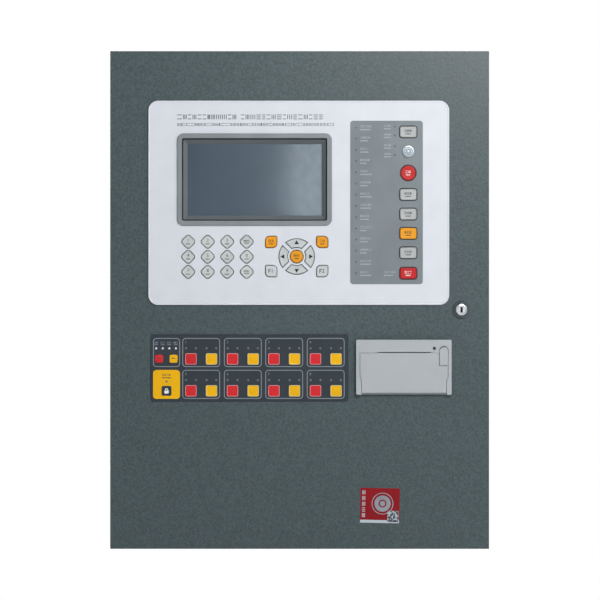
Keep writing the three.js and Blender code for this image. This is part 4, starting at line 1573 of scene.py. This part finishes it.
    def lamps_and_marks(self) -> None:
        """Sets the lamp windows and prints the zone numbers and the tiny lines."""
        dim, bright, rows = [], [], []
        sections = [(0, self.face + SUNK), (0.05, self.face - 0.12), (0.5, self.face - 0.2)]
        for index, (x, z) in enumerate(self.zones()):
            dim += [stacked(Disc(1.2, 16), sections, self.spot(x + side, z + self.lamp_rise))
                    for side in self.lamp_places]
            spot = self.spot(x + self.number_place[0], z + self.number_place[1])
            numeral(f"zone_number_{index + 1}", str(index + 1), self.number_size, spot, self.face,
                    Finish.ZONE_LINE, Body.DOOR)
        x, z = self.master_x, self.rows[0]
        for step in range(4):
            offset = self.master_lamp_start + step * self.master_lamp_pitch
            bright.append(stacked(Disc(1.25, 16), sections, self.spot(x + offset, z + 4.8)))
            left, low = self.spot(x + offset - 2.6, z + 11.4)
            rows += words(left, low, 5.4, 1.9, self.face, 300 + step)
            rows += words(left + 0.3, low - 2.4, 4.6, 0.9, self.face, 310 + step)
        shape("zone_lamps", merged(dim), Finish.LAMP_DIM, Body.DOOR)
        shape("master_lamps", merged(bright), Finish.LAMP_WHITE, Body.DOOR)
        shape("zone_legends", boxes(rows), Finish.ZONE_LINE, Body.DOOR)
        z = self.rows[1]
        left, low = self.spot(x - 5.0, z + 11.0)
        dark = words(left, low, 10.0, 2.4, self.face - self.ink, 320)
        dark += words(left - 0.6, low - 3.4, 11.2, 1.2, self.face - self.ink, 321)
        shape("lock_zone_legend", boxes(dark), Finish.INK_DARK, Body.DOOR)
        dome = [(0, self.face), (0, self.face - 0.16), (0.5, self.face - 0.24)]
        lamp = stacked(Disc(1.3, 16), dome, self.spot(x, z + 3.3))
        shape("lock_zone_lamp", lamp, Finish.LAMP_DARK, Body.DOOR)

    def board(self) -> None:
        """Dresses the board behind the film."""
        dress(refined("control_board", 0.15, 2), Finish.BOARD, Body.DOOR)
        place = Place.of("control_board")
        back = place.high[1]
        rng = np.random.default_rng(12)
        chips = [[place.low[0] + 22 + 24 * index, place.low[0] + 32 + 24 * index, back - 1.1, back + 1.4,
                  place.centre[2] + 6 + rise, place.centre[2] + 16 + rise]
                 for index, rise in enumerate(rng.uniform(-4, 4, 8))]
        shape("control_board_chips", boxes(chips), Finish.CHIP, Body.DOOR)
        plugs = [[place.low[0] + 30 + 60 * index, place.low[0] + 62 + 60 * index, back - 1.1, back + 5.5,
                  place.low[2] + 12, place.low[2] + 19] for index in range(3)]
        shape("control_board_plugs", boxes(plugs), Finish.CONNECTOR, Body.DOOR)


# ---------------------------------------------------------------- printer


@dataclass
class Printer:
    """The panel printer: housing, hinged cover, roller, roll, head and release lever."""

    cover_side: float = 50.4
    jog: float = 1.9
    jog_top: float = -89.5
    jog_bottom: float = -92.6
    head_radius: float = 4.7
    head_taper: float = 0.8
    shaft_radius: float = 1.5
    shaft_end: float = 3.5
    roll_core: float = 6.6
    roll_layers: int = 19
    paper_half: float = 28.2
    paper_thickness: float = 0.08

    def build(self) -> None:
        """Builds the printer."""
        self.housing = Place.of("printer_housing")
        self.lever = Place.of("printer_lever")
        self.lever_middle = self.lever.centre[0]
        levels = (self.jog_top, self.jog_bottom)
        dress(refined("printer_housing", 0.7, 3, (), levels, self.jogged), Finish.PRINTER, Body.DOOR)
        dress(refined("printer_cover", 0.45, 3, (), levels, self.jogged), Finish.PRINTER, Body.FLAP)
        dress(refined("printer_lever", 0.4, 3, reshape=self.narrowed), Finish.PRINTER, "lever")
        dress(refined("print_head", 0.2, 2), Finish.HEAD, Body.DOOR)
        self.roller()
        self.roll()
        self.paper()
        self.lamp()
        self.corners()

    def jogged(self, points: Points) -> Points:
        """Steps the seam between the cover and the rails inwards below jog_top.

        A vertex by the seam moves towards the middle by jog below jog_bottom.

        Args:
            points: Rows of (x, y, z) in millimetres.

        Returns:
            The moved rows.
        """
        middle = self.housing.centre[0]
        away = points[:, 0] - middle
        near = (np.abs(np.abs(away) - self.cover_side) < 1.3) & (points[:, 2] < self.jog_bottom + 0.1)
        near &= points[:, 1] < self.housing.low[1] + 6.0
        moved = points.copy()
        moved[near, 0] -= np.sign(away[near]) * self.jog
        return moved

    def narrowed(self, points: Points) -> Points:
        """Draws the front edge of the lever's round head towards the middle of the head.

        Args:
            points: Rows of (x, y, z) in millimetres.

        Returns:
            The moved rows.
        """
        middle = self.lever.high[2] - self.head_radius
        front = (points[:, 1] < self.lever.low[1] + 0.5) & (points[:, 2] > middle)
        moved = points.copy()
        moved[front, 2] = middle + (points[front, 2] - middle) * (1 - self.head_taper / self.head_radius)
        return moved

    def corners(self) -> None:
        """Fills the two corners of the housing that stand beside the lever's round head."""
        radius = self.head_radius + 0.5
        middle = self.lever_middle, self.lever.high[2] - self.head_radius
        front, back = self.housing.low[1] + 0.15, self.lever.high[1]
        parts = []
        for side in (-1, 1):
            arc = arc_points(middle, radius, math.pi / 2, math.pi / 2 - side * math.pi / 2, 12)
            flat = np.concatenate([[(middle[0] + side * (radius + 0.3), middle[1] + radius + 0.3)],
                                   [(middle[0], middle[1] + radius + 0.3)], arc,
                                   [(middle[0] + side * (radius + 0.3), middle[1])]])
            count = len(flat)
            rings = [np.stack([flat[:, 0], np.full(count, y), flat[:, 1]], axis=1) for y in (back, front)]
            fan = [[0, index, index + 1] for index in range(1, count - 1)]
            parts.append((np.concatenate(rings), ring_faces(2, count, False) + fan
                          + [[count + number for number in face[::-1]] for face in fan]))
        piece = weld(new_object("lever_corners", *merged(parts)), 1e-8)
        dress(piece, Finish.PRINTER, Body.DOOR)

    def roller(self) -> None:
        """Turns the platen: a rubber sleeve on a steel shaft."""
        place = Place.of("platen_roller")
        half = place.size[0] / 2
        sleeve = half - self.shaft_end
        radius, shaft = place.size[1] / 2, self.shaft_radius
        profile = [(shaft, -half), (shaft, -sleeve), (radius - 0.3, -sleeve), (radius, -sleeve + 0.3),
                   (radius, sleeve - 0.3), (radius - 0.3, sleeve), (shaft, sleeve), (shaft, half)]
        shape("platen_sleeve", turned_bar(profile, place.centre, "X", 48), Finish.PLATEN, "platen", "platen_roller")

    def roll(self) -> None:
        """Turns the paper roll, its ends stepped with wound layers, on a card core."""
        place = Place.of("paper_roll")
        half, radius = place.size[0] / 2, place.size[1] / 2
        layers = np.linspace(radius, self.roll_core, self.roll_layers)
        steps = half - 0.12 * (np.arange(self.roll_layers) % 2)
        side = np.stack([layers, steps], axis=1)
        profile = np.concatenate([[(radius, -half + 0.1)], side, [(self.roll_core, -half + 0.1)]])
        shape("paper_roll_wound", turned_ring(profile, place.centre, "X", 72), Finish.PAPER, "roll", "paper_roll")
        core = np.array([(6.5, -half), (6.5, half), (5.5, half), (5.5, -half)])
        shape("paper_roll_core", turned_ring(core, place.centre, "X", 48), Finish.CONNECTOR, "roll")

    def paper(self) -> None:
        """Leads the paper from the roll over the head to just inside the slot.

        The strip is a thin plate carried along three straight runs, its two faces paper_thickness apart.
        """
        roll, roller = Place.of("paper_roll"), Place.of("platen_roller")
        run = np.array([(roll.centre[1] + 1, roll.high[2] + 0.1), (roller.high[1] + 8.9, roll.high[2] + 0.6),
                        (roller.high[1] + 0.2, roller.centre[2] - 5.0), (roller.high[1] + 0.1, roller.centre[2] + 1.0),
                        (roller.high[1] - 1.2, roller.high[2] + 0.9), (roller.low[1] - 4.0, roller.high[2] + 2.2)])
        thick = np.array([0.0, self.paper_thickness])
        both = np.concatenate([run, run[::-1] + thick])
        x = roller.centre[0]
        rings = [np.stack([np.full(len(both), side), both[:, 0], both[:, 1]], axis=1)
                 for side in (x - self.paper_half, x + self.paper_half)]
        count = len(both)
        pairs = len(run) - 1
        ends = [[index, index + 1, count - 2 - index, count - 1 - index] for index in range(pairs)]
        faces = ring_faces(2, count, False) + ends + [[count + number for number in quad[::-1]] for quad in ends]
        strip = weld(new_object("paper_strip", np.concatenate(rings), faces), 1e-8)
        dress(strip, Finish.PAPER, Body.DOOR)

    def lamp(self) -> None:
        """Sets the small dark status lamp beside the lever, in a shallow collar."""
        spot = (self.lever_middle - self.head_radius - 6.4, self.lever.high[2] - 2.2)
        front = self.housing.low[1]
        shape("printer_lamp", stacked(Disc(1.8, 24), [(0, front + 0.4), (0, front - 0.1), (0.6, front - 0.3)], spot),
              Finish.CHIP, Body.DOOR)
        collar = [(0, front + 0.4), (0, front - 0.12), (0.3, front - 0.22), (0.7, front - 0.1), (0.7, front + 0.4)]
        shape("printer_lamp_collar", framed(Disc(2.6, 32), collar, spot), Finish.PRINTER, Body.DOOR)


# ---------------------------------------------------------------- lock


@dataclass
class CamLock:
    """The cam lock: ring, barrel, nut, coned plug with its key slot, and cam."""

    slot_width: float = 3.3
    slot_height: float = 7.2
    slot_corner: float = 1.2

    def build(self) -> None:
        """Builds the lock."""
        ring, plug = Place.of("lock_body"), Place.of("lock_plug")
        centre = (ring.centre[0], 0.0, ring.centre[2])
        front, back, wide = ring.low[1], ring.high[1], ring.size[0] / 2
        profile = np.array([(7.8, back), (7.8, front + 0.7), (8.3, front), (9.0, front), (9.7, front + 0.5),
                            (wide, front + 1.2), (wide, front + 1.9), (9.3, front + 1.9), (9.3, back)])
        # The ring takes the darkened copy of the chrome: painted shade.
        body = weld(new_object("lock_ring_shaded", *turned_ring(profile, centre, "Y", 96)), 1e-7)
        dress(body, Finish.LOCK_RING_SHADED, Body.DOOR, "lock_body")
        self.plug(plug, centre, front)
        dress(refined("lock_nut", 0.4), Finish.PLATED, Body.DOOR)
        dress(refined("lock_cam", 0.4), Finish.PLATED, Body.LOCK)

    def plug(self, place: Place, centre: tuple[float, float, float], ring_front: float) -> None:
        """Turns the plug with its coned nose, and sets a dark plate of painted shade into the nose where the key slot
        is.

        Args:
            place: Where the plug stands.
            centre: A point on its axis.
            ring_front: The y of the ring's front.
        """
        nose, tail = place.low[1], place.high[1]
        profile = [(4.9, nose + 0.35), (5.4, nose), (6.3, nose + 0.2), (7.1, ring_front - 0.8), (7.5, ring_front - 0.2),
                   (7.5, tail - 4.0), (3.0, tail - 4.0), (3.0, tail)]
        vertices, faces = turned_bar(profile, centre, "Y", 96)
        plug = weld(new_object("lock_plug_turned", vertices, faces), 1e-8)
        dress(plug, Finish.CHROME, Body.LOCK, "lock_plug")
        slot = RoundedRect.even(self.slot_width, self.slot_height, self.slot_corner)
        rim = [(0.0, nose + 0.6), (0.0, nose - 0.1), (0.3, nose - 0.1), (0.3, nose + 0.6)]
        shape("key_slot_rim", framed(slot, rim, (centre[0], centre[2])), Finish.CHROME, Body.LOCK)
        # Painted shade: the slot is a dark plate in the nose, not a hole.
        inner = stacked(slot, [(0.25, nose + 0.6), (0.25, nose - 0.04)], (centre[0], centre[2]))
        shape("key_slot", inner, Finish.KEYWAY, Body.LOCK)


# ---------------------------------------------------------------- door and cabinet


@dataclass
class DoorLeaf:
    """The folded door, its label, studs and the board on its back."""

    label_size: tuple[float, float] = (45.7, 40.6)
    label_offset: tuple[float, float] = (93.2, -238.7)
    label_turn: float = -1.2
    foot_height: float = 3.4
    patch_size: float = 12.6
    patch_place: tuple[float, float] = (15.4, 8.0)
    code_cells: int = 10
    code_cell: float = 1.2
    disc_place: tuple[float, float] = (3.0, 2.4)
    disc_radius: float = 9.4
    circle_radius: float = 12.6
    mark_radius: float = 4.6
    stiffener_rises: tuple[float, float] = (60, 120)

    def build(self) -> None:
        """Builds the door's own pieces."""
        self.place = Place.of("door")
        behind = ("fascia_panel", "control_overlay", "printer_housing", "lock_body")
        holes = [Place.of(node).centre[0] for node in behind]
        dress(refined("door", 0.7, 3, holes), Finish.DOOR, Body.DOOR)
        for level in ("upper", "lower"):
            dress(refined("hinge_knuckle_" + level, 0.3, 2), Finish.PLATED, Body.DOOR)
        self.label()
        self.keypad_board()
        self.stiffeners()

    def label(self) -> None:
        """Sticks on the red label: a film with a pale foot, a silver disc and a small pale patch."""
        face = self.place.low[1]
        x, z = self.label_offset
        angle = math.radians(self.label_turn)
        turn = np.array([[math.cos(angle), -math.sin(angle)], [math.sin(angle), math.cos(angle)]])

        def turned(made: tuple[Points, list]) -> tuple[Points, list]:
            """Turns a shape made about (0, 0) and moves it to the label's place."""
            vertices, faces = made
            flat = vertices[:, [0, 2]] @ turn.T + np.array([x, z])
            return np.stack([flat[:, 0], vertices[:, 1], flat[:, 1]], axis=1), faces

        width, height = self.label_size
        film = stacked(RoundedRect.even(width, height, 0.8), [(0, face - 0.01), (0, face - 0.12)], (0, 0))
        shape("red_label", turned(film), Finish.LABEL_RED, Body.DOOR)
        layer = [(0, face - 0.1), (0, face - 0.16)]
        foot = stacked(RoundedRect.even(width - 0.4, self.foot_height, 0.3), layer, (0, -height / 2 + 1.9))
        square = RoundedRect.even(self.patch_size, self.patch_size, 0.3)
        patch = stacked(square, layer, (self.patch_place[0], -height / 2 + self.patch_place[1]))
        rows = [row for step in range(5) for row in words(-20.6, 15.0 - 6.6 * step, 4.6, 4.6, face - 0.11, 401 + step)]
        shape("label_white_parts", turned(merged([foot, patch, boxes(rows)])), Finish.LABEL_WHITE, Body.DOOR)
        rng = np.random.default_rng(7)
        cell = self.code_cell
        cells = np.argwhere(rng.random((self.code_cells, self.code_cells)) < 0.55) * cell
        corner = (self.patch_place[0] - 6.0, -height / 2 + 2.0)
        code = [(corner[0] + x, corner[0] + x + cell, face - 0.2, face - 0.12, corner[1] + z, corner[1] + z + cell)
                for x, z in cells]
        shape("label_code", turned(boxes(code)), Finish.LABEL_CODE, Body.DOOR)
        ring = [(0, face - 0.1), (0, face - 0.15), (0.9, face - 0.15), (0.9, face - 0.1)]
        disc = stacked(Disc(self.disc_radius), [(0, face - 0.1), (0, face - 0.15)], self.disc_place)
        silver = [framed(Disc(self.circle_radius), ring, self.disc_place), disc]
        shape("label_silver", turned(merged(silver)), Finish.LABEL_SILVER, Body.DOOR)
        raised = [(0, face - 0.1), (0, face - 0.18), (1.5, face - 0.18), (1.5, face - 0.1)]
        mark = framed(Disc(self.mark_radius), raised, self.disc_place)
        shape("label_mark", turned(mark), Finish.LABEL_RED, Body.DOOR)

    def keypad_board(self) -> None:
        """Dresses the board behind the fascia with its chips, cans and plugs."""
        dress(refined("keypad_board", 0.15, 2), Finish.BOARD, Body.DOOR)
        place = Place.of("keypad_board")
        back = place.high[1]
        left, low = place.low[0], place.low[2]
        chips = ((20, 24, 22, 22), (60, 30, 14, 20), (92, 22, 12, 9), (118, 30, 12, 16),
                 (150, 24, 18, 18), (270, 60, 14, 14), (284, 96, 12, 20), (268, 140, 18, 10))
        rows = blocks((left, low), (back - 0.2, back + 1.6), chips)
        shape("keypad_board_chips", boxes(rows), Finish.CHIP, Body.DOOR)
        plugs = ((10, 60, 8, 34), (210, 12, 46, 8), (262, 180, 40, 8), (226, 100, 8, 30))
        rows = blocks((left, low), (back - 0.2, back + 7.0), plugs)
        shape("keypad_board_plugs", boxes(rows), Finish.CONNECTOR, Body.DOOR)
        cans = [turned_bar([(4, back - 0.2), (4, back + 8.6), (3.6, back + 9)], (left + a, 0, low + b), "Y", 32)
                for a, b in ((246, 40), (258, 40), (246, 54))]
        shape("keypad_board_cans", merged(cans), Finish.CAN, Body.DOOR)

    def stiffeners(self) -> None:
        """Folds two channels across the inside of the door under its boards, with welded studs."""
        inner = self.place.low[1] + 1.5
        rows = []
        for rise in self.stiffener_rises:
            z = self.place.low[2] + rise
            rows.append([self.place.low[0] + 12, self.place.high[0] - 12, inner, inner + 7, z - 9, z + 9])
        bars = new_object("door_stiffeners", *boxes(rows))
        bevel = bars.modifiers.new("fold", "BEVEL")
        bevel.width, bevel.segments, bevel.limit_method = 1.5 * MM, 3, "ANGLE"
        dress(bars, Finish.DOOR, Body.DOOR)
        studs = [turned_bar([(2.0, inner - 0.1), (2.0, inner + 9)], (x, 0, z), "Y", 20)
                 for x in (self.place.low[0] + 30, self.place.high[0] - 30)
                 for z in (self.place.high[2] - 20, self.place.low[2] + 20)]
        shape("door_studs", merged(studs), Finish.PLATED, Body.DOOR)


@dataclass
class Cabinet:
    """The steel box and what it holds."""

    relay_count: int = 8
    relay_pitch: float = 28
    plug_count: int = 6
    plug_pitch: float = 36
    vent_radius: float = 2.0
    vent_pitch: float = 7.0
    ways: int = 20
    strap_rises: tuple[float, float] = (46, 62)
    duct_rises: tuple[float, float] = (120, 150)
    finger_pitch: float = 8.0
    knockout_count: int = 4
    knockout_pitch: float = 42.0

    def build(self) -> None:
        """Builds the cabinet and its contents."""
        self.box = Place.of("back_box")
        self.plate = Place.of("mounting_plate")
        dress(refined("back_box", 0.6, 3), Finish.CABINET, Body.CABINET)
        dress(refined("mounting_plate", 0.4, 2), Finish.ZINC, Body.CABINET)
        for level in ("upper", "lower"):
            dress(refined("hinge_bracket_" + level, 0.3, 2), Finish.PLATED, Body.CABINET)
        self.grommet()
        self.seal()
        self.main_board()
        self.supply()
        self.terminals()
        self.batteries()
        self.duct()
        self.knockouts()

    def grommet(self) -> None:
        """Turns the rubber bush: lips either side of the sheet and a rounded throat."""
        place = Place.of("cable_grommet")
        low, high, wide = place.low[2], place.high[2], place.size[0] / 2
        profile = np.array([(wide, high - 0.6), (wide - 0.3, high), (17.0, high), (16.2, high - 0.6),
                            (16.0, high - 1.4), (16.2, low + 0.6), (17.0, low), (wide - 0.6, low),
                            (wide, low + 0.6), (wide, low + 2.7), (22.0, low + 2.7), (22.0, high - 0.6)])
        centre = (place.centre[0], place.centre[1], 0)
        bush = weld(new_object("cable_bush", *turned_ring(profile, centre, "Z", 72)), 1e-7)
        dress(bush, Finish.RUBBER, Body.CABINET, "cable_grommet")

    def seal(self) -> None:
        """Lays a foam seal round the lip, where the door's edge meets it."""
        outline = RoundedRect.even(self.box.size[0] - 3, self.box.size[2] - 3, 2)
        front = self.box.low[1]
        profile = [(0, front - 0.05), (0.2, front - 1.0), (6.5, front - 1.0), (7.0, front - 0.05)]
        shape("foam_seal", framed(outline, profile, self.box.middle), Finish.FOAM, Body.CABINET)

    def main_board(self) -> None:
        """Lays out the main board: green board, relays, processor, cans, plugs and legs."""
        place = Place.of("main_board")
        left, low, top = place.low[0], place.low[2], place.high[2]
        back = place.high[1]
        front = back - 1.6
        board = stacked(RoundedRect.even(place.size[0], place.size[2], 2), [(0, back), (0, front)], place.middle)
        shape("main_board_sheet", board, Finish.BOARD, Body.CABINET, "main_board")
        relays = [[left + 22 + self.relay_pitch * step, left + 37 + self.relay_pitch * step,
                   front - 15.3, front + 0.1, low + 26, low + 44] for step in range(self.relay_count)]
        cases = new_object("relays", *boxes(relays))
        cases.modifiers.new("edges", "BEVEL").width = 0.6 * MM
        dress(cases, Finish.RELAY, Body.CABINET)
        chips = ((96, 108, 30, 30), (140, 112, 20, 26), (60, 116, 16, 24), (176, 120, 14, 20),
                 (30, 150, 24, 10), (100, 74, 12, 20), (130, 74, 12, 20), (160, 74, 12, 20))
        rows = blocks((left, low), (front - 2.2, front + 0.1), chips)
        shape("main_board_chips", boxes(rows), Finish.CHIP, Body.CABINET)
        can = [(5.1, front - 14), (5.6, front - 13.5), (5.6, front + 0.1)]
        cans = [turned_bar(can, (left + x, 0, low + z), "Y", 40)
                for x, z in ((206, 150), (220, 150), (206, 134), (220, 134), (34, 76), (50, 76))]
        shape("main_board_cans", merged(cans), Finish.CAN, Body.CABINET)
        plugs = [[left + 14 + self.plug_pitch * step, left + 42 + self.plug_pitch * step,
                  front - 9.5, front + 0.1, low + 6, low + 16] for step in range(self.plug_count)]
        shape("main_board_plugs", boxes(plugs), Finish.TERMINAL, Body.CABINET)
        headers = [[left + x, left + x + wide, front - 8.2, front + 0.1, top - 14, top - 6]
                   for x, wide in ((20, 40), (90, 52), (176, 30))]
        shape("main_board_headers", boxes(headers), Finish.CONNECTOR, Body.CABINET)
        screws = [turned_bar([(2.4, front - 2.2), (3, front - 1.7), (3, front + 0.1)], (x, 0, z), "Y", 24)
                  for x in (left + 8, place.high[0] - 8) for z in (low + 8, top - 8)]
        shape("main_board_screws", merged(screws), Finish.PLATED, Body.CABINET)

    def supply(self) -> None:
        """Dresses the power supply: its folded cover, round vents shown as dark discs of painted shade, and a terminal
        strip.
        """
        dress(refined("power_supply", 0.9, 3), Finish.SUPPLY, Body.CABINET)
        place = Place.of("power_supply")
        front = place.low[1]
        columns = np.arange(place.low[0] + 14, place.high[0] - 12, self.vent_pitch)
        rows = np.arange(place.low[2] + 44, place.high[2] - 12, self.vent_pitch)
        # Painted shade: each vent is a dark disc on the cover, not a hole.
        hole, levels = Disc(self.vent_radius, 12), [(0, front + 0.2), (0, front - 0.04)]
        vents = [stacked(hole, levels, (x, z)) for z in rows for x in columns]
        shape("power_supply_vent_shade", merged(vents), Finish.KEYWAY, Body.CABINET)
        strip = [[place.low[0] + 8, place.high[0] - 8, front - 6, front + 0.2, place.low[2] + 5, place.low[2] + 20]]
        shape("power_supply_strip", boxes(strip), Finish.CHIP, Body.CABINET)
        head = [(2.6, front - 6.7), (3.0, front - 6.3), (3.0, front - 5.9)]
        screws = [turned_bar(head, (x, 0, place.low[2] + 12.5), "Y", 20)
                  for x in np.linspace(place.low[0] + 16, place.high[0] - 16, 7)]
        shape("power_supply_screws", merged(screws), Finish.PLATED, Body.CABINET)

    def terminals(self) -> None:
        """Dresses the terminal strip with a clamping screw for each way."""
        dress(refined("terminal_block", 0.35, 2), Finish.TERMINAL, Body.CABINET)
        place = Place.of("terminal_block")
        pitch = place.size[0] / self.ways
        front = place.low[1]
        head = [(2.2, front - 0.5), (2.6, front - 0.2), (2.6, front + 0.4)]
        screws = [turned_bar(head, (place.low[0] + (step + 0.5) * pitch, 0, place.low[2] + 5), "Y", 16)
                  for step in range(self.ways)]
        shape("terminal_screws", merged(screws), Finish.PLATED, Body.CABINET)

    def batteries(self) -> None:
        """Dresses the standby batteries with lids, coloured tabs and a steel strap across them."""
        for side in ("left", "right"):
            place = Place.of("battery_" + side)
            dress(refined("battery_" + side, 1.4, 3), Finish.BATTERY, Body.CABINET)
            top = place.high[2] - 6
            rows = [[place.low[0] - 0.3, place.high[0] + 0.3, place.low[1] - 0.3, place.high[1] + 0.3,
                     top - 13, top - 11.4]]
            shape(f"battery_{side}_seam", boxes(rows), Finish.BATTERY, Body.CABINET)
            for tab, finish in ((place.low[0] + 12, Finish.TAB_RED), (place.high[0] - 12, Finish.CHIP)):
                socket = [[tab - 5, tab + 5, place.low[1] + 8, place.low[1] + 17, top - 0.1, top + 1.8]]
                name = f"battery_{side}_{'plus' if finish is Finish.TAB_RED else 'minus'}"
                shape(name, boxes(socket), finish, Body.CABINET)
        left, right = Place.of("battery_left"), Place.of("battery_right")
        front = left.low[1]
        levels = [left.low[2] + rise for rise in self.strap_rises]
        strap = [[left.low[0] - 22, right.high[0] + 22, front - 2.2, front - 0.6, *levels],
                 [left.low[0] - 3.4, left.low[0] - 1.8, front - 1.0, left.high[1] + 0.6, *levels],
                 [right.high[0] + 1.8, right.high[0] + 3.4, front - 1.0, right.high[1] + 0.6, *levels]]
        shape("battery_strap", boxes(strap), Finish.ZINC, Body.CABINET)

    def duct(self) -> None:
        """Lays a slotted wiring duct under the boards: a tray with evenly cut fingers."""
        front = self.plate.low[1]
        low, high = (self.plate.low[2] + rise for rise in self.duct_rises)
        left, right = self.plate.low[0] + 8, self.plate.high[0] - 8
        fingers = np.arange(left + 2, right - 5, self.finger_pitch)
        rows = [[left, right, front - 2.2, front - 0.3, low, high],
                [left, right, front - 30, front - 28.2, low + 1.6, high - 1.6]]
        rows += [[x, x + 5, front - 28.4, front - 2.0, z, z + 1.6] for x in fingers for z in (low, high - 1.6)]
        shape("wiring_duct", boxes(rows), Finish.DUCT, Body.CABINET)

    def knockouts(self) -> None:
        """Presses round knock-outs into the cabinet's top beside the cable entry."""
        top = self.box.high[2]
        profile = np.array([(12.4, top - 0.3), (12.4, top + 0.25), (13.0, top + 0.45), (13.6, top + 0.25),
                            (13.6, top - 0.3)])
        rings = [turned_ring(profile, (40 + step * self.knockout_pitch, self.box.centre[1], 0), "Z", 48)
                 for step in range(self.knockout_count)]
        shape("knockout_rings", merged(rings), Finish.CABINET, Body.CABINET)


# ---------------------------------------------------------------- stage


@dataclass
class Studio:
    """The pale floor, the soft lights and the camera."""

    lens: float = 120.0
    sensor: float = 36.0
    frame_width: float = 696.6
    camera_side: float = 0.45
    floor_drop: float = 70.0
    floor_half: float = 6.0
    ambient: float = 0.22

    def build(self) -> None:
        """Sets the stage."""
        self.camera()
        self.floor()
        self.lights()
        self.world()

    def camera(self) -> None:
        """Stands the camera straight in front, so far that the door's face fills the frame as it should."""
        face = Place.of("door").low[1]
        distance = self.frame_width * self.lens / self.sensor
        data = bpy.data.cameras.new("camera")
        data.lens, data.sensor_width = self.lens, self.sensor
        camera = bpy.data.objects.new("camera", data)
        camera.location = (self.camera_side * MM, (face - distance) * MM, 0)
        camera.rotation_euler = (math.pi / 2, 0, 0)
        bpy.context.scene.collection.objects.link(camera)
        bpy.context.scene.camera = camera

    def floor(self) -> None:
        """Lays the floor below the panel."""
        level = (Place.of("door").low[2] - self.floor_drop) * MM
        mesh = bpy.data.meshes.new("floor")
        half = self.floor_half
        corners = [(-half, -half, level), (half, -half, level), (half, half, level), (-half, half, level)]
        mesh.from_pydata(corners, [], [[0, 1, 2, 3]])
        floor = bpy.data.objects.new("floor", mesh)
        bpy.context.scene.collection.objects.link(floor)
        graph = Graph("floor_white")
        speck = graph.noise(8, 2.0)
        graph.colour(graph.blend(graph.spread(speck, 0, 1), (0.72, 0.72, 0.72, 1), (0.76, 0.76, 0.76, 1)))
        graph.set(Roughness=0.9)
        seen = graph.tree.nodes.new("ShaderNodeEmission")
        graph.show(seen)
        mesh.materials.append(graph.material)

    def area(self, name: str, place: Sequence[float], aim: Sequence[float], size: tuple[float, float], power: float,
             tint: tuple[float, float, float] = (1, 1, 1)) -> None:
        """Hangs one soft area light.

        Args:
            name: Its name.
            place: Where it hangs, in metres.
            aim: The point it faces.
            size: Its width and height in metres.
            power: Its power in watts.
            tint: Its colour.
        """
        data = bpy.data.lights.new(name, "AREA")
        data.color = tint
        data.shape = "RECTANGLE"
        data.size, data.size_y = size
        data.energy = power
        light = bpy.data.objects.new(name, data)
        light.location = place
        light.rotation_euler = (Vector(aim) - Vector(place)).to_track_quat("-Z", "Y").to_euler()
        bpy.context.scene.collection.objects.link(light)

    def lights(self) -> None:
        """Hangs the key light high on the right and weak fills on the left and behind."""
        self.area("key", (0.5, -1.45, 0.78), (0.05, -0.14, 0.05), (0.42, 0.42), 15.5)
        self.area("fill", (-1.6, -1.8, 0.2), (0, -0.14, 0), (1.4, 1.8), 2.5)
        self.area("side", (1.8, -1.0, 0.3), (0, -0.14, 0), (0.6, 0.8), 4.5)
        self.area("back", (0.9, 1.8, 1.4), (0, 0, 0), (1.6, 1.2), 45)
        self.area("back_left", (-1.9, 1.0, 0.7), (0, -0.05, 0), (1.2, 1.2), 26)
        self.area("card", (0.034, -2.48, 0.28), (-0.01, -0.14, 0.14), (0.12, 0.24), 0.62, (0.82, 0.93, 1.0))

    def world(self) -> None:
        """Shows pure white behind the panel, while the light that it casts is softer."""
        scene = bpy.context.scene
        scene.view_settings.view_transform = "Standard"
        world = bpy.data.worlds.new("studio")
        scene.world = world
        world.use_nodes = True
        tree = world.node_tree
        tree.nodes.clear()
        output = tree.nodes.new("ShaderNodeOutputWorld")
        seen, cast = tree.nodes.new("ShaderNodeBackground"), tree.nodes.new("ShaderNodeBackground")
        seen.inputs["Color"].default_value = (1, 1, 1, 1)
        seen.inputs["Strength"].default_value = 1.0
        cast.inputs["Color"].default_value = (0.94, 0.97, 1.0, 1)
        cast.inputs["Strength"].default_value = self.ambient
        path, mix = tree.nodes.new("ShaderNodeLightPath"), tree.nodes.new("ShaderNodeMixShader")
        tree.links.new(path.outputs["Is Camera Ray"], mix.inputs[0])
        tree.links.new(cast.outputs[0], mix.inputs[1])
        tree.links.new(seen.outputs[0], mix.inputs[2])
        tree.links.new(mix.outputs[0], output.inputs["Surface"])


def main() -> None:
    """Builds the panel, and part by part."""
    Studio().build()
    DoorLeaf().build()
    keys = KeyField()
    keys.plan()
    keys.build()
    Fascia(keys).build()
    ZonePanel().build()
    Printer().build()
    CamLock().build()
    Cabinet().build()


if __name__ == "__main__":
    logging.basicConfig(level=logging.INFO, format="%(message)s")
    main()
